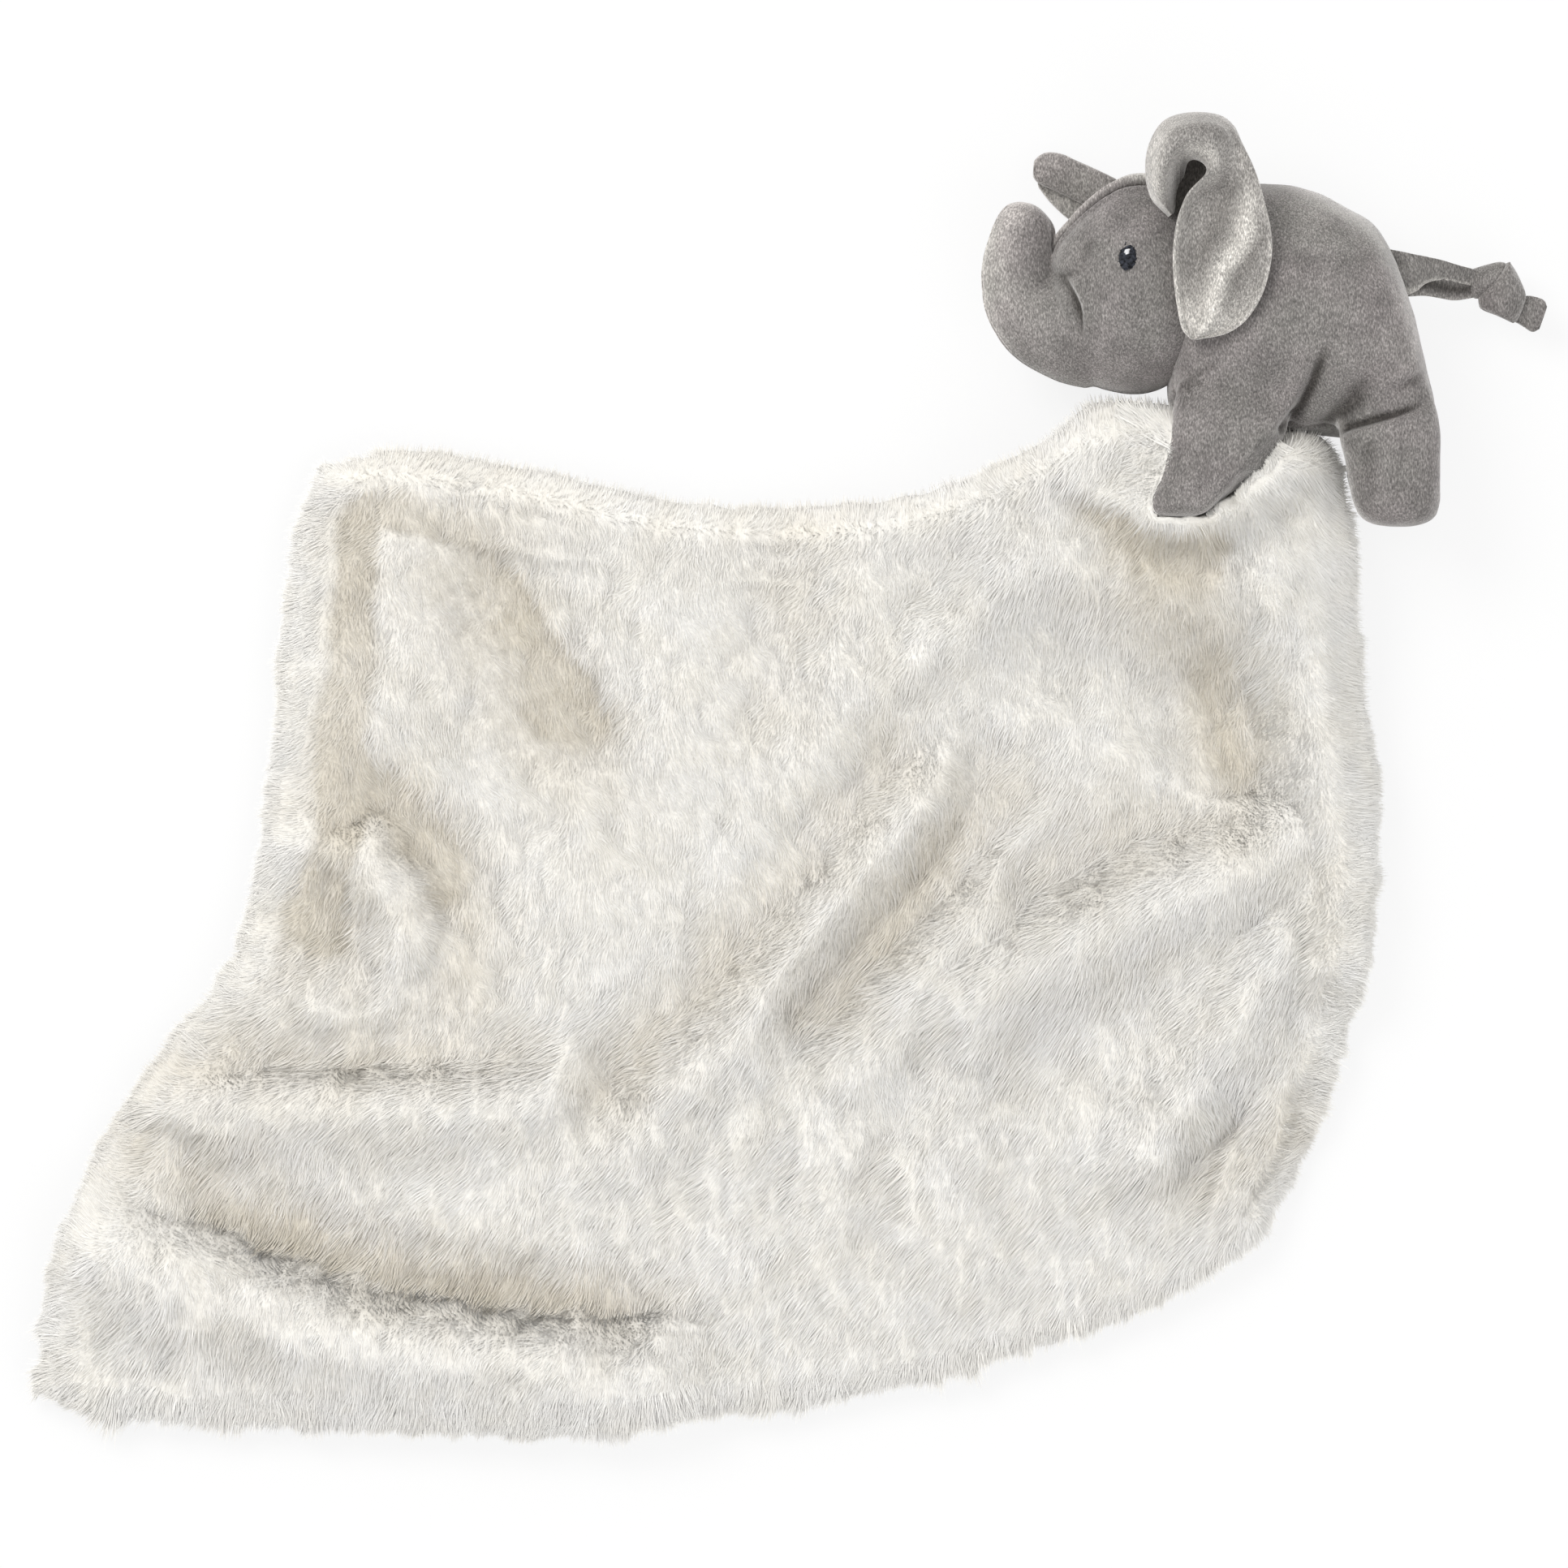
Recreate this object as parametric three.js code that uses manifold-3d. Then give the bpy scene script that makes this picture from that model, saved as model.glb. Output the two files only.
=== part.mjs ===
// A comfort blanket toy: a small stuffed elephant sewn to one corner of a square fur blanket.
// It lies as it is laid out flat. The blanket is spread on the surface in low folds, and the
// elephant lies on its right side, facing -X, with its back towards +Y. +Z points up from the
// surface. All lengths are in millimetres. The origin is the middle of the underside.

import * as THREE from 'three';
import { mergeVertices } from 'three/addons/utils/BufferGeometryUtils.js';
import Module from 'manifold-3d';

const wasm = await Module();
wasm.setup();

// Cloth and fit
const coverThickness = 1.6; // velour and its turned seams
const earThickness = 1.5; // each of an ear's two cloths
const seamGap = 0.3; // between pieces that touch
const fillingGap = 0.8; // between a cover and the filling inside it
const restFlat = 0.5; // how deep the lowest forms are pressed flat
const earRunningGap = 0.3; // between an ear's root and the cheek
const beyond = 200; // overrun of the cutting bodies

// Blanket
const blanketLength = 350;
const pileDepth = 6; // one fur cloth, its pile laid flat
const foldBase = 2; // how high the cloth lies over the surface between the folds
const hemInset = 19; // from the edge to the stitched groove of the hem
const hemGrooveWidth = 10;

// Elephant
const torsoLength = 76;
const torsoHeight = 75;
const torsoWidth = 60;
const headLength = 46;
const headHeight = 62.5;
const headWidth = 48;
const trunkLength = 50;
const trunkRootWidth = 31;
const trunkFlatShare = 0.84; // the trunk's depth over its width
const legLength = 39;
const hindLegLength = 42;
const legWidth = 32.5;
const legDepth = 20;
const gussetWidth = 20; // of the forehead, and of the belly
const gussetTipWidth = 5; // where the forehead gusset meets the trunk
const eyeWidth = 5.2;
const eyeHeight = 7;
const eyeThickness = 0.9;

// Ears
const earLength = 65.5;
const earWidth = 28;
const earRise = 8.5; // how far the rim stands off the shoulder
const earCurl = 5; // how far the upper lobe leans out
const earPocketDepth = 5;
const earPocketRadius = 8;
const foldedEarReach = 41.5; // of the right ear, which is folded forward under the head
const foldedEarDrop = 1.7;

// Tail
const tailLength = 45;
const tailRootWidth = 12.6;
const tailStripThickness = 5;
const tailDroop = 15; // how far the knot hangs below the rump
const tailSlotWidth = 1.4;
const knotWidth = 15.5;
const knotLength = 13;
const knotThickness = 11;
const wrapThickness = 4.5; // the turn of the strip that passes over the knot
const knotLift = 0.6; // how far that turn stands off the knot
const tailEndLength = 8.5;
const tailEndWidth = 10;
const tailEndThickness = 3.6;

// Swings, in degrees about +Z
const headLift = -10;
const headNod = 6;
const tailSwing = 30;

// Blanket outline: the four edges as shares of its side, from its middle
const leftEdgeShares = [
  [-0.539, -0.369], [-0.528, -0.282], [-0.488, -0.181], [-0.437, -0.101], [-0.382, -0.03], [-0.358, 0.04],
  [-0.347, 0.114], [-0.34, 0.194], [-0.333, 0.275], [-0.324, 0.335], [-0.308, 0.375],
];
const topEdgeShares = [
  [-0.308, 0.375], [-0.268, 0.387], [-0.208, 0.383], [-0.154, 0.374], [-0.101, 0.362], [-0.047, 0.349],
  [0.02, 0.341], [0.087, 0.34], [0.154, 0.347], [0.208, 0.361], [0.261, 0.385], [0.308, 0.41],
  [0.349, 0.422], [0.389, 0.42], [0.436, 0.404], [0.476, 0.396], [0.511, 0.375],
];
const rightEdgeShares = [
  [0.459, -0.235], [0.491, -0.168], [0.516, -0.094], [0.535, -0.02], [0.541, 0.047], [0.541, 0.114],
  [0.535, 0.181], [0.527, 0.248], [0.523, 0.302], [0.519, 0.342], [0.511, 0.375],
];
const bottomEdgeShares = [
  [-0.539, -0.369], [-0.509, -0.385], [-0.416, -0.389], [-0.315, -0.394], [-0.235, -0.397],
  [-0.147, -0.401], [-0.06, -0.397], [0.02, -0.383], [0.101, -0.372], [0.168, -0.361], [0.248, -0.335],
  [0.315, -0.315], [0.369, -0.295], [0.422, -0.265], [0.459, -0.235],
];

// Blanket folds: a crest or a valley along each line, all as shares of the blanket's side
const foldShares = [
  { line: [[-0.181, 0.308], [-0.141, 0.221], [-0.101, 0.127]], width: 0.063, height: -0.011 },
  { line: [[-0.248, 0.302], [-0.221, 0.221]], width: 0.046, height: 0.014 },
  { line: [[-0.295, 0.124], [-0.225, 0.07], [-0.198, 0], [-0.208, -0.054]], width: 0.036, height: -0.02 },
  { line: [[-0.268, 0.074], [-0.241, 0.027]], width: 0.04, height: 0.023 },
  { line: [[-0.315, 0.027], [-0.29, 0], [-0.288, -0.034]], width: 0.03, height: -0.014 },
  { line: [[-0.426, -0.111], [-0.315, -0.107], [-0.154, -0.101]], width: 0.034, height: -0.017 },
  { line: [[-0.422, -0.134], [-0.315, -0.134], [-0.208, -0.137], [-0.114, -0.121]], width: 0.036, height: 0.023 },
  { line: [[-0.459, -0.188], [-0.362, -0.245], [-0.282, -0.278], [-0.074, -0.315]], width: 0.034, height: -0.026 },
  { line: [[-0.483, -0.265], [-0.395, -0.302], [-0.302, -0.335], [-0.047, -0.362]], width: 0.049, height: 0.034 },
  { line: [[-0.084, -0.127], [0, -0.05], [0.064, 0.03], [0.154, 0.147]], width: 0.036, height: -0.017 },
  { line: [[-0.047, -0.147], [0.04, -0.06], [0.107, 0.027], [0.181, 0.107]], width: 0.036, height: 0.026 },
  { line: [[0.09, -0.06], [0.137, -0.007], [0.201, 0.06], [0.238, 0.124]], width: 0.036, height: -0.02 },
  { line: [[0.127, -0.101], [0.181, -0.034], [0.241, 0.027]], width: 0.04, height: 0.017 },
  { line: [[0.221, -0.057], [0.355, 0.02], [0.462, 0.067], [0.516, 0.087]], width: 0.034, height: 0.04 },
  { line: [[0.268, 0.044], [0.355, 0.077], [0.422, 0.09]], width: 0.034, height: -0.014 },
  { line: [[0.168, 0.228], [0.241, 0.282], [0.288, 0.325]], width: 0.034, height: 0.023 },
  { line: [[0.355, 0.282], [0.409, 0.214], [0.436, 0.141]], width: 0.04, height: -0.02 },
  { line: [[0.493, 0.261], [0.503, 0.194], [0.511, 0.127], [0.521, 0.047], [0.519, -0.02]], width: 0.037, height: 0.04 },
  { line: [[0.369, -0.174], [0.422, -0.094], [0.483, -0.007]], width: 0.034, height: 0.026 },
  { line: [[0.422, -0.194], [0.483, -0.161]], width: 0.034, height: -0.017 },
  { line: [[0.03, -0.154], [0.02, -0.275]], width: 0.036, height: 0.011 },
  { line: [[0.111, -0.141], [0.114, -0.275]], width: 0.036, height: 0.011 },
  { line: [[0.201, -0.127], [0.214, -0.261]], width: 0.036, height: 0.011 },
  { line: [[0.077, 0.322], [0.07, 0.261], [0.054, 0.194]], width: 0.036, height: -0.014 },
  { line: [[0.121, 0.315], [0.127, 0.235], [0.121, 0.168]], width: 0.063, height: 0.014 },
];

// The corner that the front legs hold: where it lies on the blanket, how far it stays level
// and how far it takes to come down to the surface, as shares of the blanket's side
const heldCornerShares = [0.42, 0.377];
const heldLevelShares = [0.11, 0.075];
const heldSlopeShare = 1.6;

// Elephant profiles, seen from its left side: place along the form, upper and lower (or right
// and left) outline as shares of its height, and half-depth as a share of its half-width
const torsoShares = [
  [0, -0.171, -0.357, 0.2], [0.025, 0, -0.403, 0.42], [0.061, 0.217, -0.425, 0.6],
  [0.123, 0.375, -0.441, 0.76], [0.245, 0.469, -0.45, 0.92], [0.383, 0.487, -0.453, 0.99],
  [0.528, 0.462, -0.462, 1], [0.675, 0.388, -0.478, 0.99], [0.798, 0.295, -0.5, 0.93],
  [0.883, 0.102, -0.515, 0.82], [0.951, -0.146, -0.509, 0.62], [0.985, -0.295, -0.475, 0.4],
  [1, -0.366, -0.425, 0.18],
];
const headShares = [
  [0, 0.119, -0.157, 0.2], [0.036, 0.187, -0.28, 0.42], [0.117, 0.272, -0.381, 0.64],
  [0.249, 0.388, -0.455, 0.85], [0.401, 0.474, -0.493, 0.97], [0.553, 0.504, -0.5, 1],
  [0.695, 0.481, -0.47, 0.97], [0.822, 0.41, -0.403, 0.88], [0.934, 0.291, -0.28, 0.62],
  [1, 0.168, -0.13, 0.25],
];
const frontLegShares = [
  [0, 0.5, -0.36, 0.45], [0.2, 0.59, -0.4, 0.86], [0.38, 0.586, -0.429, 1], [0.53, 0.479, -0.471, 1],
  [0.68, 0.321, -0.514, 1], [0.83, 0.1, -0.579, 0.95], [0.94, -0.071, -0.629, 0.82],
  [0.985, -0.14, -0.61, 0.55], [1, -0.22, -0.54, 0.3],
];
const hindLegShares = [
  [0, 0.3, -0.4, 0.45], [0.22, 0.4, -0.443, 0.86], [0.39, 0.421, -0.457, 1], [0.58, 0.429, -0.4, 1],
  [0.75, 0.421, -0.364, 1], [0.88, 0.407, -0.314, 0.95], [0.955, 0.357, -0.236, 0.8],
  [0.985, 0.271, -0.129, 0.5], [1, 0.18, -0.04, 0.25],
];
const legTopShare = -0.264; // of the torso's height
const frontLegShare = -0.316; // of the torso's length
const hindLegShare = 0.328;
const heldOnLegShare = 0.68; // where a front leg holds the corner, of its length from the top

// Trunk: its middle line as shares of its length, from its root, and its width there as a share
const trunkShares = [
  [0, 0, 1], [-0.149, 0.019, 0.94], [-0.316, 0.084, 0.82], [-0.419, 0.205, 0.71], [-0.451, 0.358, 0.64],
  [-0.433, 0.507, 0.59], [-0.4, 0.628, 0.53], [-0.372, 0.698, 0.4], [-0.353, 0.738, 0.13],
];
const trunkRootShares = [-0.168, -0.231]; // from the head's middle, of the head's height

// Places on the elephant, as shares of the torso's length and height or of the head's height
const headPlaceShares = [-0.638, 0.109];
const neckShares = [-0.454, 0];
const eyeShares = [-0.022, 0.116];
const earRootShares = [0.205, 0.112];
const tailRootShares = [0.347, 0.149];

// Left ear, laid back over the shoulder: place along it from its root, and its two edges as
// shares of its width
const earRootDepthShare = 0.955; // how far out the cheek is at the ear's root, of its half-width
const earPocketShares = [0.15, 0.3];
const earCurlShares = [0.2, 0.641]; // where the upper lobe begins to lean, and its tip
const earShares = [
  [-0.352, 0.17, 0.3], [-0.313, 0.075, 0.483], [-0.231, 0.017, 0.683], [-0.089, -0.025, 0.892],
  [0.036, -0.025, 0.975], [0.142, 0, 0.95], [0.206, -0.017, 0.917], [0.285, -0.167, 0.883],
  [0.381, -0.317, 0.825], [0.498, -0.275, 0.75], [0.587, -0.108, 0.592], [0.641, 0.1, 0.383],
];

// Right ear, folded forward: the same from its root, along its reach
const foldedEarDropShare = 0.33; // of its reach, to come down under the cheek
const foldedEarShares = [
  [0, -0.208, 0.2], [0.169, -0.233, 0.433], [0.337, -0.125, 0.667], [0.506, 0.1, 0.867],
  [0.674, 0.333, 1], [0.815, 0.533, 1.083], [0.91, 0.683, 1.067], [0.978, 0.817, 0.983],
  [1, 0.883, 0.942],
];

// Tail: middle line, width as a share of the root's, and droop as a share of the whole
const tailShares = [
  [-0.06, 0, 1, 0], [0.12, -0.006, 0.95, 0.06], [0.3, -0.02, 0.8, 0.3], [0.45, -0.028, 0.68, 0.62],
  [0.58, -0.03, 0.6, 0.9], [0.66, -0.04, 0.6, 1],
];
const tailSlotShares = [0.18, 0.62];
const knotPlaceShares = [0.705, -0.065];
const tailEndPlaceShares = [0.925, -0.155];
const knotTurn = -25; // degrees
const tailEndTurn = -17;
const wrapTurn = 60;

// Ring and side counts
const blanketCells = 20;
const torsoRings = 11;
const torsoSides = 16;
const headRings = 12;
const headSides = 18;
const legRings = 7;
const legSides = 12;
const trunkRings = 10;
const trunkSides = 10;
const earColumns = 6;
const earRows = 10;
const slotSides = 8;
const fillingSides = 12;

// Colours
const velourColour = '#8f8b89';
const liningColour = '#989492';
const furColour = '#f3f1ea';
const threadColour = '#1c1c20';
const fillingColour = '#f4f4f2';

// Derived sizes
const midPlane = torsoWidth / 2 - restFlat; // height of the elephant's middle over the surface
const legOffset = pileDepth + seamGap / 2 + seamGap + legDepth / 2; // from the middle plane
const heldHeight = midPlane - pileDepth - seamGap / 2; // of the cloth's underside at the corner
const cheekHeight = (headWidth / 2) * earRootDepthShare; // at the ear's root
const earPivotHeight = cheekHeight + earThickness + seamGap / 2 + earRunningGap;

function smoothstep(share) {
  const t = THREE.MathUtils.clamp(share, 0, 1);
  return t * t * (3 - 2 * t);
}

// The values of a table of shares at a place along it, on a smooth curve through its rows
function along(table, share) {
  const places = table.map((row) => row[0]);
  const values = table.flatMap((row) => row.slice(1));
  const curve = new THREE.CubicInterpolant(places, values, table[0].length - 1);
  return Array.from(curve.evaluate(share));
}

// Places from 0 to 1 that lie closer together towards both ends
function endedPlaces(count) {
  return Array.from({ length: count + 1 }, (_, i) => (1 - Math.cos((Math.PI * i) / count)) / 2);
}

function geometryFrom(vertices, faces) {
  const geometry = new THREE.BufferGeometry();
  geometry.setAttribute('position', new THREE.Float32BufferAttribute(vertices, 3));
  geometry.setIndex(faces);
  return geometry;
}

// A closed skin over rings of points, with a fan at each end
function loft(rings) {
  const sides = rings[0].length;
  const vertices = rings.flat().flatMap((point) => point.toArray());
  const faces = [];
  for (let i = 0; i < rings.length - 1; i += 1) {
    for (let j = 0; j < sides; j += 1) {
      const a = i * sides + j;
      const b = i * sides + ((j + 1) % sides);
      faces.push(a, b, b + sides, a, b + sides, a + sides);
    }
  }
  const last = (rings.length - 1) * sides;
  for (let j = 1; j < sides - 1; j += 1) {
    faces.push(0, j + 1, j, last, last + j, last + j + 1);
  }
  return geometryFrom(vertices, faces);
}

// An oval ring about a middle point, in the plane of two directions
function oval(middle, across, through, halfAcross, halfThrough, sides) {
  return Array.from({ length: sides }, (_, j) => {
    const angle = (2 * Math.PI * (j + 0.5)) / sides;
    return middle
      .clone()
      .addScaledVector(across, halfAcross * Math.cos(angle))
      .addScaledVector(through, halfThrough * Math.sin(angle));
  });
}

// A stuffed form: oval sections between two outlines, along one direction.
// growth thickens it all round, and a negative growth gives the form inside its cover.
function stuffedForm(table, size, direction, growth, rings, sides) {
  const length = size.length + 2 * growth;
  const height = size.height + 2 * growth;
  const width = size.width + 2 * growth;
  const through = new THREE.Vector3().crossVectors(direction.along, direction.across);
  const sections = endedPlaces(rings).map((place) => {
    const [upper, lower, depth] = along(table, place);
    const middle = new THREE.Vector3()
      .addScaledVector(direction.along, (place - direction.middleShare) * length)
      .addScaledVector(direction.across, ((upper + lower) / 2) * height);
    const halfHeight = ((upper - lower) / 2) * height;
    return oval(middle, direction.across, through, halfHeight, (depth * width) / 2, sides);
  });
  return loft(sections);
}

// Solids for cutting and joining
function solidOf(geometry, matrix = new THREE.Matrix4()) {
  const bare = geometry.clone().applyMatrix4(matrix);
  bare.deleteAttribute('normal');
  bare.deleteAttribute('uv');
  const merged = mergeVertices(bare);
  const vertProperties = Float32Array.from(merged.attributes.position.array);
  const triVerts = Uint32Array.from(merged.index.array);
  return new wasm.Manifold(new wasm.Mesh({ numProp: 3, vertProperties, triVerts }));
}

// The largest body of a cut solid, as a geometry
function geometryOf(solid) {
  const bodies = solid.decompose().sort((a, b) => b.volume() - a.volume());
  const mesh = bodies[0].getMesh();
  return geometryFrom(Array.from(mesh.vertProperties), Array.from(mesh.triVerts));
}

function placed(x, y, z, turn = new THREE.Euler()) {
  const rotation = new THREE.Quaternion().setFromEuler(turn);
  return new THREE.Matrix4().compose(new THREE.Vector3(x, y, z), rotation, new THREE.Vector3(1, 1, 1));
}

function turnAbout(pivot, degrees) {
  const back = placed(-pivot.x, -pivot.y, -pivot.z);
  const turn = new THREE.Matrix4().makeRotationZ(THREE.MathUtils.degToRad(degrees));
  return placed(pivot.x, pivot.y, pivot.z).multiply(turn).multiply(back);
}

function boxSolid(low, high) {
  const size = new THREE.Vector3().subVectors(high, low);
  const middle = new THREE.Vector3().addVectors(low, high).multiplyScalar(0.5);
  return solidOf(new THREE.BoxGeometry(size.x, size.y, size.z), placed(middle.x, middle.y, middle.z));
}

// Everything on one side of the seam in the elephant's middle plane
function sideOf(left) {
  const low = new THREE.Vector3(-beyond, -beyond, left ? seamGap / 2 : -beyond);
  const high = new THREE.Vector3(beyond, beyond, left ? beyond : -seamGap / 2);
  return boxSolid(low, high);
}

function mesh(name, geometry, colour, roughness) {
  const material = new THREE.MeshStandardMaterial({ color: colour, roughness, metalness: 0 });
  const piece = new THREE.Mesh(geometry, material);
  piece.name = name;
  return piece;
}

function velour(name, solid) {
  return mesh(name, geometryOf(solid), velourColour, 0.95);
}

function filling(name, solid) {
  return mesh(name, geometryOf(solid), fillingColour, 1);
}

// Blanket
function edgeCurve(shares) {
  const points = shares.map(([x, y]) => new THREE.Vector3(x * blanketLength, y * blanketLength, 0));
  const curve = new THREE.CatmullRomCurve3(points);
  return (share) => curve.getPointAt(share);
}

const edges = {
  left: edgeCurve(leftEdgeShares),
  right: edgeCurve(rightEdgeShares),
  bottom: edgeCurve(bottomEdgeShares),
  top: edgeCurve(topEdgeShares),
};

// The cloth's plan, blended between its four edges
function blanketPlan(u, v) {
  const between = edges.bottom(u).multiplyScalar(1 - v).addScaledVector(edges.top(u), v);
  between.addScaledVector(edges.left(v), 1 - u).addScaledVector(edges.right(v), u);
  between.addScaledVector(edges.bottom(0), -(1 - u) * (1 - v)).addScaledVector(edges.bottom(1), -u * (1 - v));
  return between.addScaledVector(edges.top(0), -(1 - u) * v).addScaledVector(edges.top(1), -u * v);
}

function distanceToLine(point, line) {
  let nearest = Infinity;
  for (let i = 0; i < line.length - 1; i += 1) {
    const start = new THREE.Vector3(...line[i], 0);
    const end = new THREE.Vector3(...line[i + 1], 0);
    const foot = new THREE.Line3(start, end).closestPointToPoint(point, true, new THREE.Vector3());
    nearest = Math.min(nearest, foot.distanceTo(point));
  }
  return nearest;
}

// 1 where the front legs hold the corner, falling to 0 as the cloth comes down
function heldShare(point) {
  const x = (point.x - heldCornerShares[0]) / heldLevelShares[0];
  const y = (point.y - heldCornerShares[1]) / heldLevelShares[1];
  return 1 - smoothstep((Math.hypot(x, y) - 1) / heldSlopeShare);
}

// 1 in the stitched groove of the hem, falling to 0 beside it
function hemPress(fromEdge) {
  const half = hemGrooveWidth / 2;
  return 1 - smoothstep((Math.abs(fromEdge - hemInset) - half) / half);
}

// Height of the cloth's underside over the surface
function blanketHeight(plan, u, v) {
  const point = plan.clone().divideScalar(blanketLength);
  let crest = 0;
  let valley = 0;
  for (const fold of foldShares) {
    const distance = distanceToLine(point, fold.line) / fold.width;
    const height = fold.height * blanketLength * Math.exp(-distance * distance);
    crest = Math.max(crest, height);
    valley = Math.min(valley, height);
  }
  const pressed = (foldBase + restFlat) * hemPress(Math.min(u, 1 - u, v, 1 - v) * blanketLength);
  const height = Math.max(foldBase + crest + valley - pressed, -restFlat);
  return THREE.MathUtils.lerp(height, heldHeight, heldShare(point));
}

// Grid lines across the blanket: one on each side of the hem's grooves, and even ones between
function blanketLines() {
  const hem = [0, hemInset - hemGrooveWidth / 2, hemInset + hemGrooveWidth / 2].map((x) => x / blanketLength);
  const cells = blanketCells - 4;
  const inner = Array.from({ length: cells - 1 }, (_, i) => hem[2] + ((1 - 2 * hem[2]) * (i + 1)) / cells);
  return [...hem, ...inner, ...hem.map((share) => 1 - share).reverse()];
}

function evenLines(cells) {
  return Array.from({ length: cells + 1 }, (_, i) => i / cells);
}

// A slab between two grids of points; with u to the right and v upward one sees its upper side
function slab(acrossLines, alongLines, upperPoint, lowerPoint) {
  const vertices = [];
  for (const pointAt of [upperPoint, lowerPoint]) {
    for (const v of alongLines) {
      for (const u of acrossLines) {
        vertices.push(...pointAt(u, v).toArray());
      }
    }
  }
  const columns = acrossLines.length - 1;
  const rows = alongLines.length - 1;
  const layer = (columns + 1) * (rows + 1);
  const at = (i, j) => j * (columns + 1) + i;
  const faces = [];
  for (let j = 0; j < rows; j += 1) {
    for (let i = 0; i < columns; i += 1) {
      const [a, b, c, d] = [at(i, j), at(i + 1, j), at(i + 1, j + 1), at(i, j + 1)];
      faces.push(a, b, c, a, c, d);
      faces.push(layer + a, layer + c, layer + b, layer + a, layer + d, layer + c);
    }
  }
  const rim = [];
  for (let i = 0; i < columns; i += 1) rim.push(at(i, 0));
  for (let j = 0; j < rows; j += 1) rim.push(at(columns, j));
  for (let i = columns; i > 0; i -= 1) rim.push(at(i, rows));
  for (let j = rows; j > 0; j -= 1) rim.push(at(0, j));
  rim.forEach((a, k) => {
    const b = rim[(k + 1) % rim.length];
    faces.push(a, layer + a, layer + b, a, layer + b, b);
  });
  return geometryFrom(vertices, faces);
}

// One fur cloth of the blanket, between two heights over the cloth's underside
function furPanel(name, low, high) {
  const pointAt = (u, v, lift) => {
    const plan = blanketPlan(u, v);
    return plan.setZ(Math.max(blanketHeight(plan, u, v) + lift, 0));
  };
  const geometry = slab(
    blanketLines(),
    blanketLines(),
    (u, v) => pointAt(u, v, high),
    (u, v) => pointAt(u, v, low),
  );
  return mesh(name, geometry, furColour, 1);
}

function makeBlanket() {
  const blanket = new THREE.Group();
  blanket.add(furPanel('blanket_back_panel', 0, pileDepth));
  blanket.add(furPanel('blanket_face_panel', pileDepth + seamGap, 2 * pileDepth + seamGap));
  return blanket;
}

// Elephant directions: the forms run towards +X or, for the legs, down the body
const lengthwise = {
  along: new THREE.Vector3(1, 0, 0),
  across: new THREE.Vector3(0, 1, 0),
  middleShare: 0.5,
};
const downward = {
  along: new THREE.Vector3(0, -1, 0),
  across: new THREE.Vector3(1, 0, 0),
  middleShare: 0,
};

const neck = new THREE.Vector3(neckShares[0] * torsoLength, neckShares[1] * torsoHeight, 0);
const headMiddle = new THREE.Vector3(headPlaceShares[0] * torsoLength, headPlaceShares[1] * torsoHeight, 0);
const tailRoot = new THREE.Vector3(tailRootShares[0] * torsoLength, tailRootShares[1] * torsoHeight, 0);

function torsoForm(growth, rings = torsoRings, sides = torsoSides) {
  const size = { length: torsoLength, height: torsoHeight, width: torsoWidth };
  return stuffedForm(torsoShares, size, lengthwise, growth, rings, sides);
}

// The space that the torso sweeps, seen from a piece that swings about a pivot on it
function sweptTorso(pivot, angles) {
  const grown = torsoForm(seamGap);
  const turned = angles.map((angle) => solidOf(grown, turnAbout(pivot, angle)));
  return turned.reduce((sum, solid) => sum.add(solid));
}

function shell(form, rings, sides) {
  return solidOf(form(0, rings, sides)).subtract(solidOf(form(-coverThickness, rings, sides)));
}

// The elephant's right side is pressed flat where it lies on the surface
function aboveSurface() {
  const low = new THREE.Vector3(-beyond, -beyond, -midPlane);
  return boxSolid(low, new THREE.Vector3(beyond, beyond, beyond));
}

function bellyCutter(growth) {
  const half = gussetWidth / 2 + growth;
  const low = new THREE.Vector3(-beyond, -beyond, -half);
  return boxSolid(low, new THREE.Vector3(beyond, legTopShare * torsoHeight + growth, half));
}

function makeTorso() {
  const torso = new THREE.Group();
  const cover = shell(torsoForm, torsoRings, torsoSides).intersect(aboveSurface());
  const sides = cover.subtract(bellyCutter(seamGap));
  torso.add(velour('torso_left_panel', sides.intersect(sideOf(true))));
  torso.add(velour('torso_right_panel', sides.intersect(sideOf(false))));
  torso.add(velour('belly_gusset', cover.intersect(bellyCutter(0))));
  const stuffing = solidOf(torsoForm(-coverThickness - fillingGap, torsoRings, fillingSides));
  torso.add(filling('torso_stuffing', stuffing));
  return torso;
}

// Legs
function legForm(table, length, growth, rings = legRings, sides = legSides) {
  const size = { length, height: legWidth, width: legDepth };
  return stuffedForm(table, size, downward, growth, rings, sides);
}

function makeLeg(name, table, length, placeShare, left) {
  const leg = new THREE.Group();
  const place = placed(placeShare * torsoLength, legTopShare * torsoHeight, left ? legOffset : -legOffset);
  const body = solidOf(torsoForm(seamGap));
  const skin = solidOf(legForm(table, length, 0), place);
  const inner = solidOf(legForm(table, length - coverThickness, -coverThickness), place);
  leg.add(velour(`${name}_cover`, skin.subtract(inner).subtract(body)));
  const inset = coverThickness + fillingGap;
  const core = solidOf(legForm(table, length - inset, -inset, legRings, fillingSides), place);
  leg.add(filling(`${name}_stuffing`, core.subtract(body)));
  return leg;
}

function makeLegs() {
  const legs = new THREE.Group();
  legs.add(makeLeg('left_front_leg', frontLegShares, legLength, frontLegShare, true));
  legs.add(makeLeg('right_front_leg', frontLegShares, legLength, frontLegShare, false));
  legs.add(makeLeg('left_hind_leg', hindLegShares, hindLegLength, hindLegShare, true));
  legs.add(makeLeg('right_hind_leg', hindLegShares, hindLegLength, hindLegShare, false));
  return legs;
}

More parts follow.
